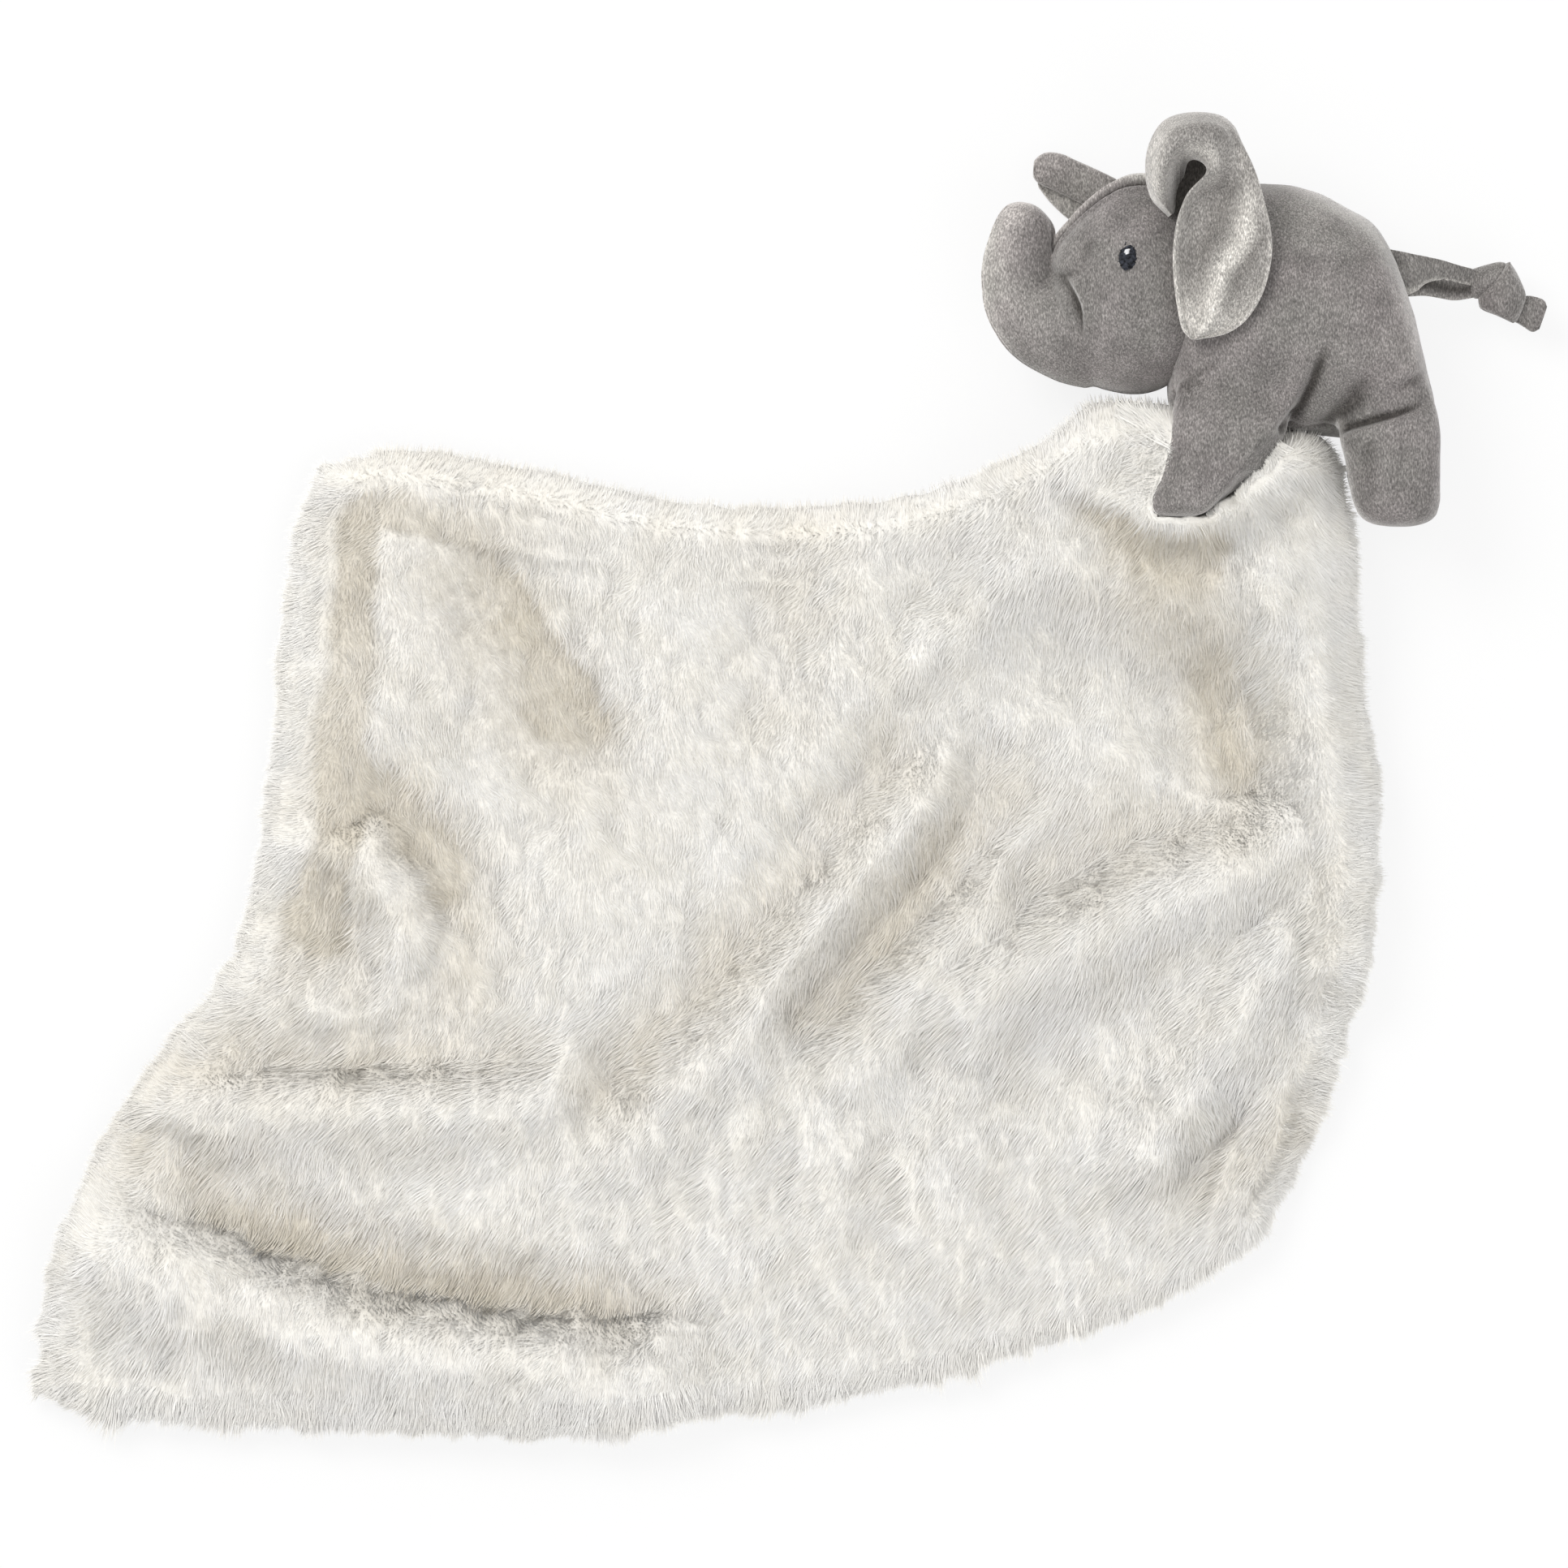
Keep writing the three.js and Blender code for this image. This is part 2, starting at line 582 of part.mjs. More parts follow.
// Head, in the elephant's own axes about the head's middle
function headForm(growth, rings = headRings, sides = headSides) {
  const size = { length: headLength, height: headHeight, width: headWidth };
  return stuffedForm(headShares, size, lengthwise, growth, rings, sides);
}

// The forehead gusset is a wedge: wide at the crown, narrow where it meets the trunk
function foreheadCutter(growth) {
  const tip = gussetTipWidth / 2 + growth;
  const half = gussetWidth / 2 + growth;
  const wedge = new THREE.Shape([
    new THREE.Vector2(-headLength, -tip),
    new THREE.Vector2(-headLength / 2, -tip),
    new THREE.Vector2(0, -half),
    new THREE.Vector2(headLength, -half),
    new THREE.Vector2(headLength, half),
    new THREE.Vector2(0, half),
    new THREE.Vector2(-headLength / 2, tip),
    new THREE.Vector2(-headLength, tip),
  ]);
  const tall = new THREE.ExtrudeGeometry(wedge, { depth: headHeight, bevelEnabled: false });
  const upright = new THREE.Matrix4().makeRotationX(-Math.PI / 2);
  return solidOf(tall, placed(0, -growth, 0).multiply(upright));
}

function trunkCurve() {
  const points = trunkShares.map(([x, y]) => new THREE.Vector3(x * trunkLength, y * trunkLength, 0));
  return new THREE.CatmullRomCurve3(points);
}

// The trunk: oval sections square to its middle line, out from inside the face
function trunkForm(growth, rings = trunkRings, sides = trunkSides) {
  const curve = trunkCurve();
  const places = trunkShares.map((row, i) => [i / (trunkShares.length - 1), row[2]]);
  const rise = new THREE.Vector3(0, 0, 1);
  const root = new THREE.Vector3(trunkRootShares[0] * headHeight, trunkRootShares[1] * headHeight, 0);
  const sections = Array.from({ length: rings + 1 }, (_, i) => {
    const place = i / rings;
    const [width] = along(places, place);
    const tangent = curve.getTangent(place);
    const across = new THREE.Vector3().crossVectors(rise, tangent);
    const middle = curve.getPoint(place).add(root).addScaledVector(tangent, place * growth);
    const half = Math.max((width * trunkRootWidth) / 2 + growth, coverThickness);
    return oval(middle, across, rise, half, half * trunkFlatShare, sides);
  });
  return loft(sections);
}

function makeTrunk(swept) {
  const trunk = new THREE.Group();
  const face = solidOf(headForm(seamGap));
  const cover = shell(trunkForm, trunkRings, trunkSides).subtract(face).subtract(swept);
  trunk.add(velour('trunk_left_panel', cover.intersect(sideOf(true))));
  trunk.add(velour('trunk_right_panel', cover.intersect(sideOf(false))));
  const core = solidOf(trunkForm(-coverThickness - fillingGap, trunkRings, fillingSides));
  trunk.add(filling('trunk_stuffing', core.subtract(face)));
  return trunk;
}

// An eye is a raised patch of thread that follows the cheek
function makeEye(name, left) {
  const outline = new THREE.Shape();
  outline.absellipse(eyeShares[0] * headHeight, eyeShares[1] * headHeight, eyeWidth / 2, eyeHeight / 2, 0, 2 * Math.PI);
  const post = new THREE.ExtrudeGeometry(outline, { depth: headWidth, bevelEnabled: false, curveSegments: 7 });
  const core = solidOf(post, placed(0, 0, left ? 0 : -headWidth));
  const raised = solidOf(headForm(seamGap + eyeThickness)).subtract(solidOf(headForm(seamGap)));
  return mesh(name, geometryOf(raised.intersect(core)), threadColour, 0.5);
}

// Ears
function earSurface(u, v) {
  const place = THREE.MathUtils.lerp(earShares[0][0], earShares.at(-1)[0], v);
  const [left, right] = along(earShares, place);
  const x = THREE.MathUtils.lerp(left, right, u);
  const pocket = [(x - earPocketShares[0]) * earWidth, (place - earPocketShares[1]) * earLength];
  const toPocket = Math.hypot(...pocket) / earPocketRadius;
  const curl = Math.max(place - earCurlShares[0], 0) / (earCurlShares[1] - earCurlShares[0]);
  const rise = earRise * smoothstep(x) + earCurl * curl * curl;
  const height = rise - earPocketDepth * Math.exp(-toPocket * toPocket);
  return new THREE.Vector3(x * earWidth, place * earLength, height);
}

function foldedEarSurface(u, v) {
  const [lower, upper] = along(foldedEarShares, v);
  const y = THREE.MathUtils.lerp(lower, upper, u) * earWidth;
  return new THREE.Vector3(-v * foldedEarReach, y, -foldedEarDrop * smoothstep(v / foldedEarDropShare));
}

function earPanel(name, surface, low, high, colour) {
  const lifted = (u, v, lift) => surface(u, v).add(new THREE.Vector3(0, 0, lift));
  const geometry = slab(
    evenLines(earColumns),
    evenLines(earRows),
    (u, v) => lifted(u, v, high),
    (u, v) => lifted(u, v, low),
  );
  return mesh(name, geometry, colour, 0.95);
}

function makeEar(name, surface, left) {
  const ear = new THREE.Group();
  const half = seamGap / 2;
  const upperName = left ? 'lining' : 'back';
  const lowerName = left ? 'back' : 'lining';
  ear.add(earPanel(`${name}_${upperName}`, surface, half, half + earThickness, liningColour));
  ear.add(earPanel(`${name}_${lowerName}`, surface, -half - earThickness, -half, velourColour));
  const z = left ? earPivotHeight : -earPivotHeight;
  ear.position.set(earRootShares[0] * headHeight, earRootShares[1] * headHeight, z);
  return ear;
}

function makeHead() {
  const head = new THREE.Group();
  const angles = [headLift, headLift / 2, 0, headNod / 2, headNod];
  const toHead = placed(-headMiddle.x, -headMiddle.y, 0);
  const sweptGeometry = geometryOf(sweptTorso(neck, angles.map((angle) => -angle)));
  const swept = solidOf(sweptGeometry, toHead);
  const cover = shell(headForm, headRings, headSides).subtract(swept);
  const cheeks = cover.subtract(foreheadCutter(seamGap));
  head.add(velour('head_left_panel', cheeks.intersect(sideOf(true))));
  head.add(velour('head_right_panel', cheeks.intersect(sideOf(false))));
  head.add(velour('forehead_gusset', cover.intersect(foreheadCutter(0))));
  const core = solidOf(headForm(-coverThickness - fillingGap, headRings, fillingSides));
  head.add(filling('head_stuffing', core.subtract(swept)));
  head.add(makeTrunk(swept));
  head.add(makeEye('left_eye', true));
  head.add(makeEye('right_eye', false));
  head.add(makeEar('left_ear', earSurface, true));
  head.add(makeEar('right_ear', foldedEarSurface, false));
  head.position.copy(headMiddle);
  return head;
}

// Tail: one folded strip of velour with a knot tied near its end
function tailPoint(row) {
  return new THREE.Vector3(row[0] * tailLength, row[1] * tailLength, -row[3] * tailDroop);
}

function tailStrip() {
  const curve = new THREE.CatmullRomCurve3(tailShares.map(tailPoint));
  const sections = tailShares.map((row, i) => {
    const tangent = curve.getTangent(i / (tailShares.length - 1));
    const across = new THREE.Vector3().crossVectors(new THREE.Vector3(0, 0, 1), tangent).normalize();
    const through = new THREE.Vector3().crossVectors(tangent, across);
    const half = (row[2] * tailRootWidth) / 2;
    return oval(tailPoint(row), across, through, half, tailStripThickness / 2, fillingSides);
  });
  return solidOf(loft(sections));
}

// The strip's open edge: a slot along its lower half, seen from the left side
function tailSlot() {
  const rows = tailShares.filter((row) => row[0] > tailSlotShares[0] && row[0] < tailSlotShares[1]);
  const sections = rows.map((row) => {
    const edge = tailPoint(row).add(new THREE.Vector3(0, (-row[2] * tailRootWidth) / 4, tailStripThickness / 2));
    const across = new THREE.Vector3(0, 1, 0);
    const through = new THREE.Vector3(0, 0, 1);
    return oval(edge, across, through, tailSlotWidth / 2, tailStripThickness / 2, slotSides);
  });
  return solidOf(loft(sections));
}

function tailKnot() {
  const place = placed(
    knotPlaceShares[0] * tailLength,
    knotPlaceShares[1] * tailLength,
    -tailDroop,
    new THREE.Euler(0, 0, THREE.MathUtils.degToRad(knotTurn)),
  );
  const ball = new THREE.SphereGeometry(knotWidth / 2, 14, 10);
  ball.scale(knotLength / knotWidth, 1, knotThickness / knotWidth);
  const wrap = new THREE.TorusGeometry((knotWidth - wrapThickness) / 2, wrapThickness / 2 + knotLift, 8, 16);
  wrap.rotateY(THREE.MathUtils.degToRad(wrapTurn));
  wrap.scale(1, 1, knotThickness / knotWidth);
  return solidOf(ball, place).add(solidOf(wrap, place));
}

function tailEnd() {
  const place = placed(
    tailEndPlaceShares[0] * tailLength,
    tailEndPlaceShares[1] * tailLength,
    -tailDroop,
    new THREE.Euler(0, 0, THREE.MathUtils.degToRad(tailEndTurn)),
  );
  return solidOf(new THREE.BoxGeometry(tailEndLength, tailEndWidth, tailEndThickness), place);
}

function makeTail() {
  const swept = sweptTorso(tailRoot, [-tailSwing, -tailSwing / 2, 0, tailSwing / 2, tailSwing]);
  const clear = solidOf(geometryOf(swept), placed(-tailRoot.x, -tailRoot.y, 0));
  const whole = tailStrip().subtract(tailSlot()).add(tailKnot()).add(tailEnd());
  const tail = new THREE.Group();
  tail.add(velour('tail', whole.subtract(clear)));
  tail.position.copy(tailRoot);
  return tail;
}

// The elephant stands over the blanket's held corner, on its front legs
function makeElephant() {
  const elephant = new THREE.Group();
  elephant.add(makeTorso(), makeLegs(), makeHead(), makeTail());
  elephant.position.set(
    heldCornerShares[0] * blanketLength - frontLegShare * torsoLength,
    heldCornerShares[1] * blanketLength - legTopShare * torsoHeight + heldOnLegShare * legLength,
    midPlane,
  );
  return elephant;
}

const toy = new THREE.Group();
toy.add(makeBlanket(), makeElephant());
const bounds = new THREE.Box3().setFromObject(toy, true);
const middle = bounds.getCenter(new THREE.Vector3());
toy.position.set(-middle.x, -middle.y, -bounds.min.z);

export default toy;
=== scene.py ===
# A comfort blanket toy: a square of long white fur with a small grey velour elephant sewn to one
# corner, laid flat and seen from above. Lengths here are in millimetres, meshes are in metres.

import math
import bpy
import numpy as np
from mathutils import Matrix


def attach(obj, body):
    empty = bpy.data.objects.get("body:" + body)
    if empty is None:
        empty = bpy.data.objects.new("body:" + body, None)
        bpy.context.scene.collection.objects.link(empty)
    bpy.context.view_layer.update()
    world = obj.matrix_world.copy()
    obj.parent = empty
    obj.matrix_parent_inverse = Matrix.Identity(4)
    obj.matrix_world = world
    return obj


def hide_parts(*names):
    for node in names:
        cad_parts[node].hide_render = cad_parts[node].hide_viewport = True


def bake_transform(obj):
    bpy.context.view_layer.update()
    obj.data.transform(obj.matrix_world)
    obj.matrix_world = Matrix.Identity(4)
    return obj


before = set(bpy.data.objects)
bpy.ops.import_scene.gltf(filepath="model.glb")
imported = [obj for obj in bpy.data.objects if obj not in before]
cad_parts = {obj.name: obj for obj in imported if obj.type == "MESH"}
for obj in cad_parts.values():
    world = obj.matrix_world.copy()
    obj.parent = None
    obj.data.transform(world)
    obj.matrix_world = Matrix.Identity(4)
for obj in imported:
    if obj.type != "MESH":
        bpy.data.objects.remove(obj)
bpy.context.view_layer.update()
mm = 0.001
random = np.random.default_rng(27)

# Where the elephant's parts lie: the middle of its body, of its head, and the root of its tail
bodyMiddle = np.array([143.07, 130.72, 29.5])
headMiddle = np.array([94.58, 138.90, 29.5])
tailRoot = np.array([169.44, 141.90, 29.5])


# Small tools for surfaces

def readTable(table, at):
    # values of a table at places along its first column, on a smooth curve through its rows
    table = np.asarray(table, float)
    x, y = table[:, 0], table[:, 1:]
    slope = np.gradient(y, x, axis=0)
    i = np.clip(np.searchsorted(x, at) - 1, 0, len(x) - 2)
    span = (x[i + 1] - x[i])[:, None]
    t = ((at - x[i])[:, None]) / span
    start = (1 + 2 * t) * (1 - t) ** 2 * y[i] + t * (1 - t) ** 2 * span * slope[i]
    return start + t**2 * (3 - 2 * t) * y[i + 1] - t**2 * (1 - t) * span * slope[i + 1]


def readEven(table, at):
    # the same for rows at even steps from 0 to 1
    table = np.asarray(table, float)
    rows = table.reshape(len(table), -1)
    steps = np.linspace(0, 1, len(table))[:, None]
    return readTable(np.hstack([steps, rows]), np.asarray(at)).reshape(-1, *table.shape[1:])


def endedPlaces(count):
    # places from 0 to 1 that lie closer together towards both ends
    return (1 - np.cos(np.pi * np.arange(count + 1) / count)) / 2


def fade(x):
    x = np.clip(x, 0, 1)
    return x * x * (3 - 2 * x)


def bump(x, width):
    return np.exp(-((x / width) ** 2))


def unit(vectors):
    return vectors / np.maximum(np.linalg.norm(vectors, axis=-1), 1e-9)[..., None]


def runOf(line):
    # the length along a line of points, up to each of them
    return np.concatenate([[0], np.cumsum(np.linalg.norm(np.diff(line, axis=0), axis=1))])


def softNoise(x, y, cell, seed):
    # random heights on a square lattice, blended smoothly between its points, from -1 to 1
    grid = np.random.default_rng(seed).uniform(-1, 1, (128, 128))
    gx, gy = x / cell + 40, y / cell + 40
    i, j = np.floor(gx).astype(int), np.floor(gy).astype(int)
    fx, fy = fade(gx - i), fade(gy - j)
    at = lambda a, b: grid[a % 128, b % 128]
    low = at(i, j) * (1 - fx) + at(i + 1, j) * fx
    high = at(i, j + 1) * (1 - fx) + at(i + 1, j + 1) * fx
    return low * (1 - fy) + high * fy


def skinOf(rings):
    # a closed skin over rings of points, closed by a point at each end
    count, sides = rings.shape[:2]
    i, j = np.meshgrid(np.arange(count - 1), np.arange(sides), indexing="ij")
    a, b = i * sides + j, i * sides + (j + 1) % sides
    walls = np.stack([a, b, b + sides, a, b + sides, a + sides], -1).reshape(-1, 3)
    j = np.arange(sides)
    k, end, first = (j + 1) % sides, (count - 1) * sides, np.full(sides, count * sides)
    caps = np.concatenate([np.stack([first, k, j], 1), np.stack([first + 1, end + j, end + k], 1)])
    points = np.concatenate([rings.reshape(-1, 3), rings[0].mean(0)[None], rings[-1].mean(0)[None]])
    return outward(points, np.concatenate([walls, caps]))


def outward(points, faces):
    # turns the faces over if they enclose a negative volume
    a, b, c = (points[faces[:, k]] for k in range(3))
    volume = (a * np.cross(b, c)).sum()
    return points, faces if volume > 0 else faces[:, ::-1]


def pointNormals(points, faces):
    # the area-weighted mean of the normals of the faces round each point
    a, b, c = (points[faces[:, k]] for k in range(3))
    across = np.cross(b - a, c - a)
    total = np.stack([
        np.bincount(faces.ravel(), np.repeat(across[:, k], 3), len(points)) for k in range(3)
    ], 1)
    return unit(total)


def makePiece(name, points, faces, smooth=True):
    mesh = bpy.data.meshes.new(name)
    faces = np.ascontiguousarray(faces, np.int32)
    mesh.vertices.add(len(points))
    mesh.vertices.foreach_set("co", (np.asarray(points) * mm).astype(np.float32).ravel())
    mesh.loops.add(faces.size)
    mesh.loops.foreach_set("vertex_index", faces.ravel())
    mesh.polygons.add(len(faces))
    starts = np.arange(0, faces.size, faces.shape[1], dtype=np.int32)
    mesh.polygons.foreach_set("loop_start", starts)
    mesh.polygons.foreach_set("use_smooth", np.full(len(faces), smooth))
    mesh.update(calc_edges=True)
    piece = bpy.data.objects.new(name, mesh)
    bpy.context.scene.collection.objects.link(piece)
    return piece


def together(forms):
    # the points and the faces of several forms
    starts = np.cumsum([0] + [len(points) for points, _ in forms])
    points = np.concatenate([points for points, _ in forms])
    return points, np.concatenate([faces + start for (_, faces), start in zip(forms, starts)])


def joinedSkin(forms, voxel):
    # overlapping closed forms made into one skin of small even faces
    rough = makePiece("rough_form", *together(forms))
    remesh = rough.modifiers.new("even faces", "REMESH")
    remesh.mode, remesh.voxel_size = "VOXEL", voxel * mm
    bpy.context.view_layer.update()
    shape = rough.evaluated_get(bpy.context.evaluated_depsgraph_get()).to_mesh()
    points = np.empty(len(shape.vertices) * 3, np.float32)
    shape.vertices.foreach_get("co", points)
    edges = np.empty(len(shape.edges) * 2, np.int32)
    shape.edges.foreach_get("vertices", edges)
    shape.calc_loop_triangles()
    faces = np.empty(len(shape.loop_triangles) * 3, np.int32)
    shape.loop_triangles.foreach_get("vertices", faces)
    bpy.data.objects.remove(rough)
    points = points.reshape(-1, 3).astype(float) / mm
    points, faces = outward(points, faces.reshape(-1, 3))
    return points, faces, edges.reshape(-1, 2)


def relax(points, edges, rounds):
    # every point moves halfway to the mean of its neighbours, round after round
    ends, others = np.r_[edges[:, 0], edges[:, 1]], np.r_[edges[:, 1], edges[:, 0]]
    count = np.bincount(ends, minlength=len(points))[:, None]
    for _ in range(rounds):
        total = np.stack([np.bincount(ends, points[others, k], len(points)) for k in range(3)], 1)
        points = (points + total / count) / 2
    return points


def nearLine(x, y, line):
    # distance from a line of points, the share of it that is to the left, and of the way along it
    line = np.asarray(line, float)
    before = runOf(line)
    runs = np.diff(before)
    best, side, share = np.full(x.shape, 1e9), np.zeros(x.shape), np.zeros(x.shape)
    for i, run in enumerate(runs):
        ex, ey = (line[i + 1] - line[i]) / run
        px, py = x - line[i, 0], y - line[i, 1]
        t = np.clip(px * ex + py * ey, 0, run)
        away = np.hypot(px - t * ex, py - t * ey)
        closer = away < best
        best = np.where(closer, away, best)
        side = np.where(closer, (ex * py - ey * px) / np.maximum(away, 1e-6), side)
        share = np.where(closer, (before[i] + t) / before[-1], share)
    return best, side, share


def creased(x, y, creases):
    # how far a surface moves out along its normals: in along each line, and out beside it
    moved = np.zeros(x.shape)
    for crease in creases:
        away, side, share = nearLine(x, y, crease["line"])
        strength = np.interp(share, [0, 0.5, 1], crease.get("strength", [1, 1, 0.2]))
        moved -= crease["depth"] * strength * bump(away, crease["width"])
        beside = away * side - 1.9 * crease["width"] * crease.get("ridgeSide", 1)
        moved += crease.get("ridge", 0) * strength * bump(beside, crease["width"])
    return moved


# Materials

def setInputs(tree, node, inputs):
    # each input takes a value or another node's output
    for name, value in inputs.items():
        if isinstance(value, bpy.types.NodeSocket):
            tree.links.new(value, node.inputs[name])
        else:
            node.inputs[name].default_value = value


def addNode(tree, kind, inputs, **settings):
    node = tree.nodes.new("ShaderNode" + kind)
    for name, value in settings.items():
        setattr(node, name, value)
    setInputs(tree, node, inputs)
    return node


def newMaterial(name):
    material = bpy.data.materials.new(name)
    material.use_nodes = True
    tree = material.node_tree
    place = addNode(tree, "TexCoord", {}).outputs["Object"]
    return material, tree, tree.nodes["Principled BSDF"], place


def noiseNode(tree, place, scale, detail=2.0, roughness=0.5):
    inputs = {"Vector": place, "Scale": scale, "Detail": detail, "Roughness": roughness}
    return addNode(tree, "TexNoise", inputs).outputs["Fac"]


def rampNode(tree, source, stops):
    # each stop is a place with a colour, or with one number for a grey
    ramp = addNode(tree, "ValToRGB", {"Fac": source})
    elements = ramp.color_ramp.elements
    colours = [(*((tone,) * 3 if isinstance(tone, float) else tone), 1) for _, tone in stops]
    elements[0].position, elements[0].color = stops[0][0], colours[0]
    elements[1].position, elements[1].color = stops[-1][0], colours[-1]
    for (place, _), colour in list(zip(stops, colours))[1:-1]:
        elements.new(place).color = colour
    return ramp.outputs["Color"]


def timesNode(tree, first, second):
    inputs = {"Factor": 1.0, "A": first, "B": second}
    return addNode(tree, "Mix", inputs, data_type="RGBA", blend_type="MULTIPLY").outputs["Result"]


def attributeNode(tree, name):
    return addNode(tree, "Attribute", {}, attribute_name=name).outputs["Fac"]


velourLook = {
    "grey": (0.214, 0.204, 0.194),
    "mauve": (0.221, 0.204, 0.199),
    "patchScale": 38,
    "napSize": 0.42,  # across the slanted rows of nap
    "napStretch": (1.0, 0.42, 1.0),
    "napTurn": 38.0,  # degrees
    "speckle": [(0.30, 0.46), (0.50, 0.93), (0.70, 1.8)],  # of single tufts of nap
    "brushed": [(0.35, 0.88), (0.65, 1.13)],  # of patches brushed either way
    "brushedScale": 110,
    # painted shade: the pile darker where the crease attribute marks creases, seams and hollows in shade
    "paintedCreaseShade": [(0.0, 1.0), (1.0, (0.30, 0.29, 0.28))],
    # painted highlight: the pile lighter where light falls on rims, ridges and upward faces
    "paintedHighlight": [(0.0, 1.0), (1.0, (2.3, 2.32, 2.28))],
    # painted sheen: the pile made lighter towards grazing view
    "rim": [(0.30, 1.0), (0.95, 1.6)],  # how much lighter the pile is where it is seen from the side
    "bump": {"Strength": 0.5, "Distance": 0.0006},
    "surface": {"Roughness": 0.9, "Specular IOR Level": 0.15, "Sheen Weight": 0.9, "Sheen Roughness": 0.28,
                "Sheen Tint": (1.0, 0.985, 0.975, 1)},
}


def makeVelour(name, look, lighter=1.0):
    # short pile: a fine slanted mottle in colour and height, soft patches of mauve, and sheen; with painted
    # shade in creases, painted highlights and a painted sheen towards the rims
    material, tree, shader, place = newMaterial(name)
    turn = (0, 0, math.radians(look["napTurn"]))
    rows = addNode(tree, "Mapping", {"Vector": place, "Rotation": turn, "Scale": look["napStretch"]})
    nap = noiseNode(tree, rows.outputs["Vector"], 1000 / look["napSize"], 3.0, 0.62)
    grey, mauve = ([min(1, c * lighter) for c in look[tone]] for tone in ("grey", "mauve"))
    tone = rampNode(tree, noiseNode(tree, place, look["patchScale"]), [(0.40, grey), (0.62, mauve)])
    for source, stops in (
        (nap, "speckle"),
        (noiseNode(tree, place, look["brushedScale"]), "brushed"),
        # painted shade from the crease attribute, then painted highlights
        (attributeNode(tree, "crease"), "paintedCreaseShade"),
        (attributeNode(tree, "paintedHighlight"), "paintedHighlight"),
        # painted sheen: lighter colour where the surface is seen from the side
        (addNode(tree, "LayerWeight", {"Blend": 0.5}).outputs["Facing"], "rim"),
    ):
        tone = timesNode(tree, tone, rampNode(tree, source, look[stops]))
    relief = addNode(tree, "Bump", {**look["bump"], "Height": nap}).outputs["Normal"]
    setInputs(tree, shader, {**look["surface"], "Base Color": tone, "Normal": relief})
    return material


furLook = {
    # from painted warm shade in the hollows to the tips
    "pile": [(0.0, (0.70, 0.64, 0.53)), (0.55, (0.93, 0.90, 0.845)), (1.0, (0.99, 0.978, 0.95))],
    "patches": [(0.35, (0.98, 0.97, 0.945)), (0.65, 1.0)],
    "patchScale": 60,
    "hairs": [(0.30, (0.80, 0.79, 0.77)), (0.62, (0.94, 0.935, 0.92))],  # on the cloth between the tufts
    "hairScale": 900,
    "laid": (("sideways", (150, 1400, 1)), ("down", (1400, 150, 1))),  # hairs per metre either way
    "bump": {"Strength": 0.45, "Distance": 0.0008},
    "surface": {"Roughness": 0.8, "Specular IOR Level": 0.15, "Sheen Weight": 0.3},
}


def makeFur(name, look, cloth):
    # white, with painted warm shade in the hollows. On the cloth itself the pile is a relief of fine hairs
    # that lie the way of the pile; on the tufts it is plain
    material, tree, shader, place = newMaterial(name)
    tone = rampNode(tree, attributeNode(tree, "pile"), look["pile"])
    patches = rampNode(tree, noiseNode(tree, place, look["patchScale"]), look["patches"])
    tone = timesNode(tree, tone, patches)
    if cloth:
        flat = addNode(tree, "UVMap", {}, uv_map="flat").outputs["UV"]
        hairs = noiseNode(tree, place, look["hairScale"], 2.0, 0.6)
        for lay, scale in look["laid"]:
            stretched = addNode(tree, "Mapping", {"Vector": flat, "Scale": scale}).outputs["Vector"]
            run = noiseNode(tree, stretched, 1.0, 2.0, 0.6)
            inputs = {"Factor": attributeNode(tree, lay), "A": hairs, "B": run}
            hairs = addNode(tree, "Mix", inputs, data_type="FLOAT").outputs["Result"]
        tone = timesNode(tree, tone, rampNode(tree, hairs, look["hairs"]))
        relief = addNode(tree, "Bump", {**look["bump"], "Height": hairs}).outputs["Normal"]
        setInputs(tree, shader, {"Normal": relief})
    setInputs(tree, shader, {**look["surface"], "Base Color": tone})
    return material


def makePlain(name, dark, light, scale, roughness):
    # a fine mottle between two colours
    material, tree, shader, place = newMaterial(name)
    tone = rampNode(tree, noiseNode(tree, place, scale, 3.0), [(0.35, dark), (0.65, light)])
    surface = {"Base Color": tone, "Roughness": roughness, "Specular IOR Level": 0.2}
    setInputs(tree, shader, surface)
    return material


velour = makeVelour("grey_velour", velourLook)
# the ears' velour: the same grey without mauve, made 1.42 times lighter, painted light for the ears, which
# catch more of the lamps
lining = makeVelour("ear_lining", {**velourLook, "mauve": velourLook["grey"]}, 1.42)
fur = makeFur("white_fur", furLook, True)
furTips = makeFur("white_fur_tips", furLook, False)
blackThread = makePlain("black_thread", (0.002, 0.002, 0.003), (0.05, 0.055, 0.07), 1100, 0.7)
whiteThread = makePlain("white_thread", (0.70, 0.70, 0.72), (0.88, 0.88, 0.90), 1500, 0.5)
stuffing = makePlain("filling", (0.72, 0.72, 0.70), (0.84, 0.84, 0.82), 300, 1.0)


def finish(piece, material, body, slot, *nodes):
    piece.data.materials.clear()
    piece.data.materials.append(material)
    if body:  # a piece that bends between two bodies rides on neither
        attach(piece, body)
    if nodes:
        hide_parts(*nodes)
    return piece


def setValues(piece, name, values):
    # one value at each point, for the material to read
    layer = piece.data.attributes.new(name, "FLOAT", "POINT")
    layer.data.foreach_set("value", values.astype(np.float32).ravel())


def paint(piece, name, values):
    # the same from 0 to 1, and 0 at the points of the piece's ends
    full = np.zeros(len(piece.data.vertices))
    full[:values.size] = np.clip(values, 0, 1).ravel()
    setValues(piece, name, full)


for name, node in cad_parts.items():
    if name.endswith("stuffing"):
        for place in node.material_slots:
            place.material = stuffing
print("materials made")


# The blanket

